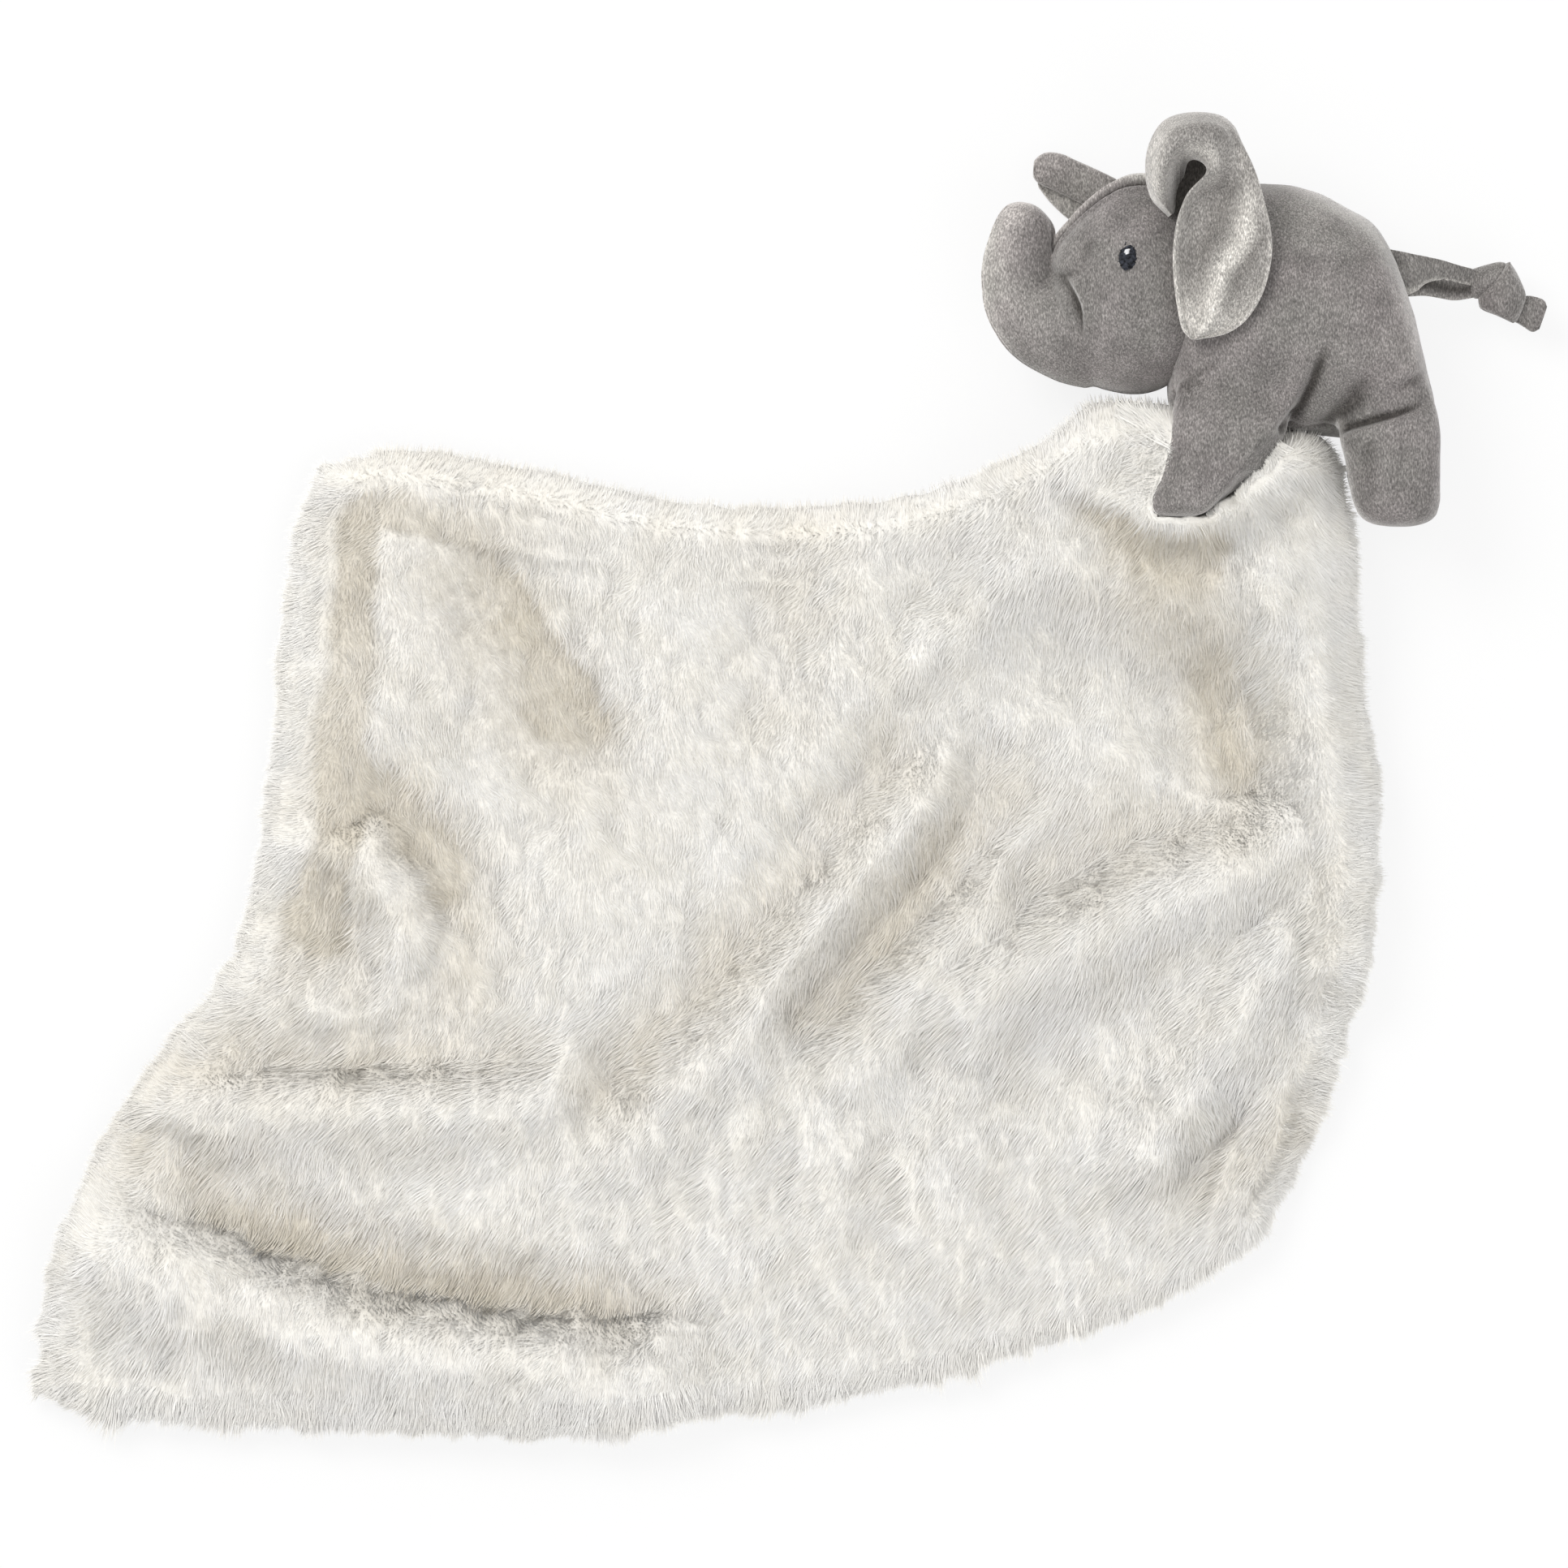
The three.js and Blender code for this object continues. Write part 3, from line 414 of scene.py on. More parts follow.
blanket = {
    "side": 350,
    "foldBase": 2,
    "hemInset": 19,
    "hemGroove": 10,
    "heldCorner": (0.42, 0.377),  # of the side: where the elephant holds the blanket
    "heldLevel": (0.11, 0.075),
    "heldSlope": 1.6,
    "heldHeight": 23.35,
    "middle": (-27.94, -47.55),
    "faceCells": (300, 60),  # of the outside of the pile, and of the cloth behind it
    "backCells": (150, 30),
    "facePile": 7.4,  # depth of the fur cloth with its pile
    "backPile": 5.7,
    "faceLevel": 6.3,  # of each cloth over the underside of the folds
    "backLevel": 5.9,
    "overhang": 3.6,  # of the pile past the cloth's edge
    "roundness": 13.0,
    "heap": 12.0,  # of the fur beside the near front leg
    "clearOfLeg": 2.5,  # how far tips may stand into that leg's underside
    "shaggy": [(-134, -108, 45), (-80, -118, 30), (150, -70, 40), (120, 118, 25), (165, -15, 18)],
    "tongues": [(145, 92, 10), (84, 101, 9)],  # of the corner, on both sides of the near front leg
}

leftEdge = [
    (-0.539, -0.369), (-0.528, -0.282), (-0.488, -0.181), (-0.437, -0.101), (-0.382, -0.03), (-0.358, 0.04),
    (-0.347, 0.114), (-0.34, 0.194), (-0.333, 0.275), (-0.324, 0.335), (-0.308, 0.375),
]
topEdge = [
    (-0.308, 0.375), (-0.268, 0.387), (-0.208, 0.383), (-0.154, 0.374), (-0.101, 0.362), (-0.047, 0.349),
    (0.02, 0.341), (0.087, 0.34), (0.154, 0.347), (0.208, 0.361), (0.261, 0.385), (0.308, 0.41),
    (0.349, 0.422), (0.389, 0.42), (0.436, 0.404), (0.476, 0.396), (0.511, 0.375),
]
rightEdge = [
    (0.459, -0.235), (0.491, -0.168), (0.516, -0.094), (0.535, -0.02), (0.541, 0.047), (0.541, 0.114),
    (0.535, 0.181), (0.527, 0.248), (0.523, 0.302), (0.519, 0.342), (0.511, 0.375),
]
bottomEdge = [
    (-0.539, -0.369), (-0.509, -0.385), (-0.416, -0.389), (-0.315, -0.394), (-0.235, -0.397),
    (-0.147, -0.401), (-0.06, -0.397), (0.02, -0.383), (0.101, -0.372), (0.168, -0.361), (0.248, -0.335),
    (0.315, -0.315), (0.369, -0.295), (0.422, -0.265), (0.459, -0.235),
]

# folds of both cloths: a crest or a valley along each line, its half-width and height, over the side
folds = [
    ([(-0.181, 0.308), (-0.141, 0.221), (-0.101, 0.127)], 0.063, -0.011),
    ([(-0.248, 0.302), (-0.221, 0.221)], 0.046, 0.014),
    ([(-0.295, 0.124), (-0.225, 0.07), (-0.198, 0), (-0.208, -0.054)], 0.036, -0.02),
    ([(-0.268, 0.074), (-0.241, 0.027)], 0.04, 0.023),
    ([(-0.315, 0.027), (-0.29, 0), (-0.288, -0.034)], 0.03, -0.014),
    ([(-0.426, -0.111), (-0.315, -0.107), (-0.154, -0.101)], 0.034, -0.017),
    ([(-0.422, -0.134), (-0.315, -0.134), (-0.208, -0.137), (-0.114, -0.121)], 0.036, 0.023),
    ([(-0.459, -0.188), (-0.362, -0.245), (-0.282, -0.278), (-0.074, -0.315)], 0.034, -0.026),
    ([(-0.483, -0.265), (-0.395, -0.302), (-0.302, -0.335), (-0.047, -0.362)], 0.049, 0.034),
    ([(-0.084, -0.127), (0, -0.05), (0.064, 0.03), (0.154, 0.147)], 0.036, -0.017),
    ([(-0.047, -0.147), (0.04, -0.06), (0.107, 0.027), (0.181, 0.107)], 0.044, 0.023),
    ([(0.09, -0.06), (0.137, -0.007), (0.201, 0.06), (0.238, 0.124)], 0.036, -0.02),
    ([(0.127, -0.101), (0.181, -0.034), (0.241, 0.027)], 0.04, 0.017),
    ([(0.221, -0.057), (0.355, 0.02), (0.462, 0.067), (0.516, 0.087)], 0.044, 0.032),
    ([(0.268, 0.044), (0.355, 0.077), (0.422, 0.09)], 0.034, -0.014),
    ([(0.168, 0.228), (0.241, 0.282), (0.288, 0.325)], 0.034, 0.023),
    ([(0.355, 0.282), (0.409, 0.214), (0.436, 0.141)], 0.04, -0.02),
    ([(0.493, 0.261), (0.503, 0.194), (0.511, 0.127), (0.521, 0.047), (0.519, -0.02)], 0.037, 0.04),
    ([(0.369, -0.174), (0.422, -0.094), (0.483, -0.007)], 0.034, 0.026),
    ([(0.422, -0.194), (0.483, -0.161)], 0.034, -0.017),
    ([(0.03, -0.154), (0.02, -0.275)], 0.044, 0.007),
    ([(0.111, -0.141), (0.114, -0.275)], 0.044, 0.007),
    ([(0.201, -0.127), (0.214, -0.261)], 0.044, 0.007),
    ([(0.077, 0.322), (0.07, 0.261), (0.054, 0.194)], 0.044, -0.010),
    ([(0.121, 0.315), (0.127, 0.235), (0.121, 0.168)], 0.063, 0.014),
]

# finer folds in the face's pile, in mm from the blanket's middle: the line, how wide the fold is to
# the left and to the right of the line's direction, and its height
pileFolds = [
    ([(-76, 126), (-60, 106), (-44, 84), (-32, 60), (-28, 34)], 8, 26, -4.6),
    ([(-84, 112), (-62, 82), (-50, 60)], 16, 16, 1.6),
    ([(-114, 52), (-90, 36), (-77, 18), (-72, -10)], 16, 10, -3.8),
    ([(-100, 38), (-86, 4)], 11, 11, 2.2),
    ([(-120, 16), (-105, 2), (-98, -20)], 8, 14, -3.4),
    ([(-140, -28), (-117, -18), (-94, -10), (-70, 3), (-48, 22)], 8, 15, 2.6),
    ([(-156, -37), (-127, -40), (-106, -45), (-87, -43), (-56, -35)], 8, 14, 2.4),
    ([(-160, -32), (-110, -37), (-56, -30)], 13, 7, -2.4),
    ([(-172, -58), (-156, -72), (-127, -86), (-99, -98), (-73, -105), (-40, -108), (20, -107)],
     17, 5.0, -6.0),
    ([(-164, -88), (-127, -98), (-94, -107), (-59, -113), (4, -116)], 7, 15, 3.8),
    ([(-44, -58), (-5, -21), (14, -2), (30, 22)], 15, 9, -2.4),
    ([(-22, -50), (21, -7), (56, 33)], 13, 13, 1.0),
    ([(20, -38), (45, -11), (57, 9), (86, 46)], 13, 11, -2.8),
    ([(45, -30), (73, 0), (95, 28)], 12, 12, 1.0),
    ([(76, -12), (125, 9), (168, 25)], 14, 8, 0.8),
    ([(84, 22), (120, 30), (150, 38)], 12, 12, -1.5),
    ([(138, 132), (154, 86), (159, 47), (156, 20)], 7, 20, -4.2),
    ([(150, 120), (164, 80), (169, 30)], 9, 13, 3.0),
    ([(46, 74), (61, 84), (78, 104)], 5, 10, -1.8),
    ([(50, 68), (85, 101), (114, 130)], 12, 16, 1.6),
    ([(183, 40), (179, 14), (176, -18), (170, -44)], 5, 7, -2.2),
    ([(96, 134), (110, 122), (128, 114), (160, 112)], 3.5, 11, -5.0),
    ([(138, -50), (160, -60), (180, -74)], 12, 12, -2.6),
    ([(176, -10), (162, -59), (142, -90)], 12, 12, 2.0),
    ([(-2, -36), (-6, -80)], 7, 9, -1.4),
    ([(22, -42), (19, -86)], 7, 9, -1.8),
    ([(53, -44), (52, -104)], 6, 10, -2.4),
    ([(89, -32), (86, -92)], 7, 11, -2.0),
    ([(80, -14), (61, -42), (55, -54)], 6, 9, -1.8),
    ([(-150, -90), (-133, -118), (-126, -130)], 8, 8, -3.0),
    ([(18, 136), (23, 108), (28, 72)], 12, 16, -1.4),
    ([(-106, 134), (-100, 108), (-98, 80)], 7, 9, -1.6),
]

# the near front leg, which lies on the blanket: from the middle of the body
nearLeg = {
    "line": [(-20.9, -24.0), (-20.9, -27.6), (-21.4, -34.6), (-23.9, -40.5), (-27.1, -46.3), (-31.8, -52.2),
             (-35.4, -56.5)],
    "halfWidths": [(0, 16.1), (0.1, 16.1), (0.28, 15.9), (0.45, 13.8), (0.62, 11.2), (0.82, 8.9), (1, 7.2)],
    "foot": (-50.6, 8.5),  # where its blunt end starts, and how long that is
    "level": 16.45,
    "halfDepth": 10,
}


def edgeCurve(shares):
    # places along an edge, even by length
    fine = readEven(shares, np.linspace(0, 1, 600)) * blanket["side"]
    run = runOf(fine)
    return lambda at: np.stack([np.interp(at * run[-1], run, fine[:, k]) for k in (0, 1)], -1)


edgeAt = {name: edgeCurve(table) for name, table in (
    ("left", leftEdge), ("right", rightEdge), ("bottom", bottomEdge), ("top", topEdge))}


def blanketPlan(u, v):
    # each place is blended from the four edges, less the blend of the four corners
    a, b = u[..., None], v[..., None]
    start, end = np.zeros(1), np.ones(1)
    between = edgeAt["bottom"](u) * (1 - b) + edgeAt["top"](u) * b
    between += edgeAt["left"](v) * (1 - a) + edgeAt["right"](v) * a
    between -= edgeAt["bottom"](start) * (1 - a) * (1 - b) + edgeAt["bottom"](end) * a * (1 - b)
    return between - edgeAt["top"](start) * (1 - a) * b - edgeAt["top"](end) * a * b


def blanketHeight(plan, fromEdge):
    # the underside: highest crest plus deepest valley, pressed at the hem, lifted at the held corner; and a
    # painted shade, deeper in the valleys
    side = blanket["side"]
    x, y = plan[..., 0] / side, plan[..., 1] / side
    crest, valley = np.zeros(x.shape), np.zeros(x.shape)
    for line, width, height in folds:
        amount = height * side * bump(nearLine(x, y, line)[0], width)
        crest, valley = np.maximum(crest, amount), np.minimum(valley, amount)
    half = blanket["hemGroove"] / 2
    press = 1 - fade((np.abs(fromEdge - blanket["hemInset"]) - half) / half)
    height = np.maximum(blanket["foldBase"] + crest + valley - (blanket["foldBase"] + 0.5) * press, -0.5)
    hx = (x - blanket["heldCorner"][0]) / blanket["heldLevel"][0]
    hy = (y - blanket["heldCorner"][1]) / blanket["heldLevel"][1]
    held = 1 - fade((np.hypot(hx, hy) - 1) / blanket["heldSlope"])
    # painted shade, deeper in the valleys
    hollow = -valley / 11
    return height * (1 - held) + blanket["heldHeight"] * held, hollow, press * (1 - held)


def outOverEdges(u, v, right, up, reach):
    # the way out over the nearest edges, fading from 1 at the edge
    total = np.zeros(right.shape)
    for inset, way, share in ((u, -right, 1), (1 - u, right, 0.8), (v, -up, 1), (1 - v, up, 0.6)):
        total += bump(inset * blanket["side"], reach * share)[..., None] * way
    size = np.linalg.norm(total, axis=-1)[..., None]
    return total / np.maximum(size, 1), np.minimum(size[..., 0], 1)


def layOfPile(u, v, y):
    # how far the pile lies along the rows (hems at the sides) and down the picture
    side = blanket["side"]
    sideways = np.maximum(bump(u * side, 16), bump((1 - u) * side, 14))
    low = fade((70 - y) / 150)
    ends = np.maximum(bump(v * side, 16), bump((1 - v) * side, 16))
    return sideways, (1 - sideways) * np.maximum(0.15 + 0.85 * low, ends)


def tuftHeights(x, y, sideways, down):
    # unevenness of the pile: tufts stretched along its lay, and small even ones
    long = softNoise(x + 0.18 * y, 0.28 * y, 2.7, 71) + 0.5 * softNoise(x + 0.1 * y, 0.35 * y, 1.9, 72)
    across = softNoise(0.28 * x, y, 2.7, 73) + 0.5 * softNoise(0.35 * x, y, 1.9, 74)
    even = softNoise(x, y, 3.1, 75) + 0.8 * softNoise(x, y, 1.7, 76)
    wide = softNoise(x, y, 11, 77)
    shaggy = np.zeros(x.shape)
    for cx, cy, reach in blanket["shaggy"]:
        shaggy = np.maximum(shaggy, bump(np.hypot(x - cx, y - cy), reach))
    rough = 0.5 * softNoise(x, y, 5.5, 79) + 0.5 * softNoise(x, y, 3.6, 80)
    alongLay = 0.40 * down * long + 0.22 * sideways * across
    return alongLay + 0.15 * even + 0.30 * wide + 0.45 * shaggy * rough


def legReach(place):
    # the distance from the near front leg's middle line over half its width there: 1 at its outline,
    # which is blunt at the foot
    x, y = place[..., 0] - bodyMiddle[0], place[..., 1] - bodyMiddle[1]
    away, _, share = nearLine(x, y, nearLeg["line"])
    start, length = nearLeg["foot"]
    return np.maximum(away / np.interp(share, *np.array(nearLeg["halfWidths"]).T), (start - y) / length)


def underLeg(place):
    # the height of the near front leg's underside, or very high beside the leg
    reach = legReach(place)
    inside = np.clip(1 - reach**2, 0, 1)
    under = bodyMiddle[2] + nearLeg["level"] - nearLeg["halfDepth"] * np.sqrt(inside) - 0.9
    return under + 60 * fade((reach - 0.93) / 0.12)


def besideLeg(place):
    # 1 at the edge of the near front leg, less away from it: there the fur is heaped up
    return bump(np.maximum(legReach(place) - 1, 0), 0.9) * fade((place[..., 0] - 70) / 18)


def foldRelief(x, y):
    # the finer folds of the face's pile, along slightly wavering lines
    wx = x + 2.2 * softNoise(x, y, 9, 101) + 1.3 * softNoise(x, y, 4, 102)
    wy = y + 2.2 * softNoise(x, y, 9, 103) + 1.3 * softNoise(x, y, 4, 104)
    relief = np.zeros(x.shape)
    for line, leftWidth, rightWidth, amount in pileFolds:
        away, turned, share = nearLine(wx, wy, line)
        width = rightWidth + (leftWidth - rightWidth) * (1 + turned) / 2
        relief += amount * bump(away, width) * fade(share / 0.3) * fade((1 - share) / 0.3)
    return relief


def paintedFoldShade(hollow, u, v, x, y, relief, press):
    # painted warm shade of the pile: in valleys, along the hems and in the lower left corner
    hollow = hollow + (np.maximum(-relief, 0) / 4.8) ** 2
    hollow += 0.75 * press * bump(u, 0.16) * fade((y + 40) / 60)
    hollow += 0.12 * bump(u - 0.06, 0.12) * fade((y + 110) / 60)
    hollow += 0.13 * bump(v - 0.08, 0.10) * fade((0.42 - u) / 0.2)
    hollow *= 1 - 0.5 * fade((-55 - y) / 22) * fade((10 - x) / 25)
    # a long band of painted shade that runs down from the upper left corner
    along = 0.70 * (x + 101) - 0.71 * (y - 117)
    aside = 0.71 * (x + 101) + 0.70 * (y - 117)
    return hollow + 0.26 * bump(along - 46, 42) * bump(aside, 15)


def furGrid(cells, back=False):
    # the outside of a fur cloth's pile over the whole blanket: round at the rim, with its folds
    steps = np.linspace(0, 1, cells + 1)
    u, v = np.meshgrid(steps, steps, indexing="ij")
    fromEdge = np.minimum(np.minimum(u, 1 - u), np.minimum(v, 1 - v)) * blanket["side"]
    plan = blanketPlan(u, v)
    x, y = plan[..., 0], plan[..., 1]
    height, hollow, press = blanketHeight(plan, fromEdge + 2.2 * softNoise(x, y, 15, 69))
    flat = np.concatenate([plan, np.zeros(x.shape)[..., None]], -1)
    right, up = unit(np.gradient(flat, axis=0)), unit(np.gradient(flat, axis=1))
    out, _ = outOverEdges(u, v, right, up, 14)
    deep = 1 - np.clip(fromEdge / blanket["roundness"], 0, 1)
    roundness = np.sqrt(1 - deep**2)
    sideways, down = layOfPile(u, v, y)
    level = blanket["backLevel" if back else "faceLevel"]
    tufts = tuftHeights(x, y, sideways, down)
    ripple = 1 + 0.25 * softNoise(x, y, 7, 78)
    place = flat + out * (blanket["overhang"] * (1 - fade(fromEdge / 20)) * ripple)[..., None]
    place[..., :2] += blanket["middle"]
    # the corner stands out in a tongue on both sides of the near front leg
    rightTongue, chinTongue = (
        bump(np.hypot(place[..., 0] - cx, place[..., 1] - cy), reach) for cx, cy, reach in blanket["tongues"])
    place[..., 0] += 5.0 * rightTongue
    place[..., 1] += 3.5 * rightTongue + 2.7 * chinTongue * (1 + 0.5 * softNoise(x, y, 4, 105))
    if back:
        depth = blanket["backPile"] * roundness + 0.3
        z = np.maximum(height + level - depth - 0.3 * tufts * roundness, 0)
    else:
        relief = foldRelief(x, y)
        hollow = paintedFoldShade(hollow, u, v, x, y, relief, press)
        relief += 2.5 * press * (1 - 0.6 * bump(u, 0.16)) + blanket["heap"] * besideLeg(place)
        depth = blanket["facePile"] * roundness + 0.4 + (tufts + relief) * roundness
        z = height + level + np.maximum(depth, 0.8)
        z = np.minimum(z, underLeg(place))
        z = np.maximum(z, height + level + 0.6)
    place[..., 2] = z
    ways = unit(np.gradient(place, axis=0)), unit(np.gradient(place, axis=1))
    normal = unit(np.cross(*ways)) * (-1 if back else 1)
    return {"u": u, "v": v, "place": place, "normal": normal, "right": ways[0], "up": ways[1],
            "hollow": np.clip(hollow, 0, 1), "sideways": sideways, "down": down,
            "cloth": np.concatenate([plan + blanket["middle"], (height + level)[..., None]], -1)}


def sampleGrid(field, u, v):
    # a grid's values at places between its points
    n = field.shape[0] - 1
    i, j = np.clip((u * n).astype(int), 0, n - 1), np.clip((v * n).astype(int), 0, n - 1)
    a, b = u * n - i, v * n - j
    if field.ndim > 2:
        a, b = a[..., None], b[..., None]
    low = field[i, j] * (1 - a) + field[i + 1, j] * a
    high = field[i, j + 1] * (1 - a) + field[i + 1, j + 1] * a
    return low * (1 - b) + high * b


def sampled(grid, names, u, v):
    return (sampleGrid(grid[name], u, v) for name in names.split())


def rimOrder(n):
    # the points round the edge of a grid of n cells, in order
    at = np.arange((n + 1) ** 2).reshape(n + 1, n + 1)
    return np.concatenate([at[:-1, 0], at[-1, :-1], at[:0:-1, -1], at[0, :0:-1]])


def gridFaces(n):
    at = np.arange((n + 1) ** 2).reshape(n + 1, n + 1)
    a, b, c, d = at[:-1, :-1], at[1:, :-1], at[1:, 1:], at[:-1, 1:]
    return np.stack([a, b, c, a, c, d], -1).reshape(-1, 3)


def furCloth(name, grid, cells):
    # the fine outside and a coarser flat side behind it, joined round the rim
    fine, coarse = cells
    step = fine // coarse
    behind = grid["cloth"][::step, ::step]
    outer, inner = rimOrder(fine), rimOrder(coarse) + (fine + 1) ** 2
    after = np.roll(outer, -1)
    near = ((np.arange(len(outer)) + step // 2) // step) % len(inner)
    nearNext = np.roll(near, -1)
    turning = near != nearNext
    faces = np.concatenate([
        gridFaces(fine),
        gridFaces(coarse)[:, ::-1] + (fine + 1) ** 2,
        np.stack([outer, inner[near], after], 1),
        np.stack([after, inner[near], inner[nearNext]], 1)[turning],
    ])
    points = np.concatenate([grid["place"].reshape(-1, 3), behind.reshape(-1, 3)])
    cloth = makePiece(name, *outward(points, faces))
    flat = np.stack([grid["u"], grid["v"]], -1)
    flat = np.concatenate([flat.reshape(-1, 2), flat[::step, ::step].reshape(-1, 2)]) * blanket["side"] * mm
    corner = np.empty(len(cloth.data.loops), np.int32)
    cloth.data.loops.foreach_get("vertex_index", corner)
    cloth.data.uv_layers.new(name="flat").data.foreach_set("uv", flat[corner].astype(np.float32).ravel())
    # the cloth's tone, darkened by the painted shade
    whiteness = 0.95 - 0.7 * grid["hollow"]
    for lay, values in (("pile", whiteness), ("sideways", grid["sideways"]), ("down", grid["down"])):
        setValues(cloth, lay, np.concatenate([values.ravel(), values[::step, ::step].ravel()]))
    return cloth


def tuftPiece(name, root, tip, radius, facing, whiteness):
    # pointed tufts of pile: a three-sided root and a tip. One side of the three lies flat outward,
    # and the shading normals are turned most of the way to the cloth's, so that the pile looks soft
    along = unit(tip - root)
    side = unit(np.cross(along, facing))
    under = np.cross(side, along)
    ring = np.stack([side, -side, -0.6 * under * np.sign((under * facing).sum(1))[:, None]], 1)
    points = np.concatenate([root[:, None] + ring * radius[:, None, None], tip[:, None]], 1)
    tuft = np.array([[0, 2, 1], [0, 1, 3], [1, 2, 3], [2, 0, 3]])
    faces = (tuft + 4 * np.arange(len(root))[:, None, None]).reshape(-1, 3)
    piece = makePiece(name, *outward(points.reshape(-1, 3), faces))
    turned = [facing[:, None] + 0.25 * ring, facing[:, None] + 0.15 * along[:, None]]
    piece.data.normals_split_custom_set_from_vertices(unit(np.concatenate(turned, 1)).reshape(-1, 3))
    # painted shade: roots a little darker than the tips
    setValues(piece, "pile", whiteness[:, None] * np.array([0.93, 0.93, 0.93, 1.0]))
    return piece


def layDirection(x, y, down, out, hem):
    # down the picture and a little to the left, swaying, and out over the hems
    swirl = softNoise(x, y, 8, 82) + 0.8 * softNoise(x, y, 3, 83)
    turn = 0.42 * softNoise(x, y, 24, 81) + (0.65 - 0.35 * down) * swirl - 0.12
    way = np.stack([np.sin(turn), -np.cos(turn), np.zeros(len(x))], 1)
    return way * ((0.62 + 0.45 * down) * (1 - hem))[:, None] + out * (1.1 * hem)[:, None]


def gather(tip, x, y, cell, share, seed):
    # the tips of neighbouring tufts draw together
    cx = np.floor(x / cell) + 0.5 + 0.35 * softNoise(x, y, cell, seed)
    cy = np.floor(y / cell) + 0.5 + 0.35 * softNoise(x, y, cell, seed + 1)
    tip[:, 0] += share * (cx * cell - x)
    tip[:, 1] += share * (cy * cell - y)


def jittered(n):
    base = np.stack(np.meshgrid(np.arange(n), np.arange(n), indexing="ij")).reshape(2, -1)
    return (base + random.uniform(0, 1, base.shape)) / n


faceTufts = {
    "rows": 436,  # in each direction
    "length": 4.4,
    "radius": 0.20,
    "sunk": 0.82,  # of a root in the cloth, and a little more where the pile lies sideways
    "rise": 0.38,
    "tipCell": 2.8,  # in which tips draw together
    "whiteness": 0.98,
}


def facePile(grid):
    u, v = jittered(faceTufts["rows"])
    place, normal, right, up, hollow, down = sampled(grid, "place normal right up hollow down", u, v)
    normal = unit(normal)
    x, y = place[:, 0] - blanket["middle"][0], place[:, 1] - blanket["middle"][1]
    out, hem = outOverEdges(u, v, right, up, 15)
    lean = layDirection(x, y, down, out, hem) + random.normal(0, 0.08, (len(x), 3))
    lean -= normal * (lean * normal).sum(1)[:, None]
    steep = np.clip(1.15 - normal[:, 2], 0, 0.5)
    rise = faceTufts["rise"] - 0.15 * np.maximum(down, 0.6 * hem) + steep
    length = faceTufts["length"] * random.uniform(0.75, 1.15, len(x)) * (1 + 0.15 * softNoise(x, y, 4, 84))
    length *= 1 + 0.45 * down * (1 - hem)
    root = place - normal * (faceTufts["sunk"] + 0.1 * (1 - down))[:, None]
    way = unit(normal * rise[:, None] + lean)
    tip = root + way * length[:, None]
    # inside the cloth a tip keeps its height over the cloth under it, so that no hollow swallows the pile
    tipU = u + (way * unit(right)).sum(1) * length / blanket["side"]
    tipV = v + (way * unit(up)).sum(1) * length / blanket["side"]
    inside = (np.abs(tipU - 0.5) < 0.5) & (np.abs(tipV - 0.5) < 0.5)
    over = (way * normal).sum(1) * length - 0.9
    tip[inside] = sampleGrid(grid["place"], tipU[inside], tipV[inside]) + (normal * over[:, None])[inside]
    gather(tip, x, y, faceTufts["tipCell"], 0.12 + 0.16 * down, 85)
    tip[:, 2] = np.maximum(tip[:, 2], 0.5)
    keep = tip[:, 2] < underLeg(tip) + blanket["clearOfLeg"]
    radius = faceTufts["radius"] * random.uniform(0.75, 1.25, len(x))
    clump = softNoise(x + 0.2 * y, (0.75 - 0.35 * down) * y, 2.4, 87) + 0.7 * softNoise(x, y, 1.3, 88)
    # painted shade in the hollows, with tone varying by clumps and at random, darker along the top edge
    whiteness = faceTufts["whiteness"] - 0.75 * hollow + (0.05 + 0.03 * down) * clump
    whiteness += random.normal(0, 0.06, len(x)) - 0.09 * bump(1 - v, 0.07)
    tilt = np.stack([softNoise(x, y, 2.2, 89), softNoise(x, y, 2.2, 90), np.zeros(len(x))], 1)
    facing = unit(normal + (0.16 + 0.06 * down)[:, None] * tilt + random.normal(0, 0.10, (len(x), 3)))
    pieces = []
    for i in range(2):
        for j in range(2):
            mine = keep & (np.floor(u * 2).astype(int) == i) & (np.floor(v * 2).astype(int) == j)
            parts = (part[mine] for part in (root, tip, radius, facing, whiteness))
            pieces.append(tuftPiece(f"face_pile_{2 * i + j + 1}", *parts))
    return pieces


fringeTufts = {
    "count": 76000,
    "length": 8.0,
    "radius": 0.24,
    "inset": 0.034,  # of the side: how wide the rim is that they grow on
    "lowerInset": 0.012,
    "lowerLength": 0.6,  # of the others
    "tipCell": 3.0,
    "whiteness": 0.98,
}


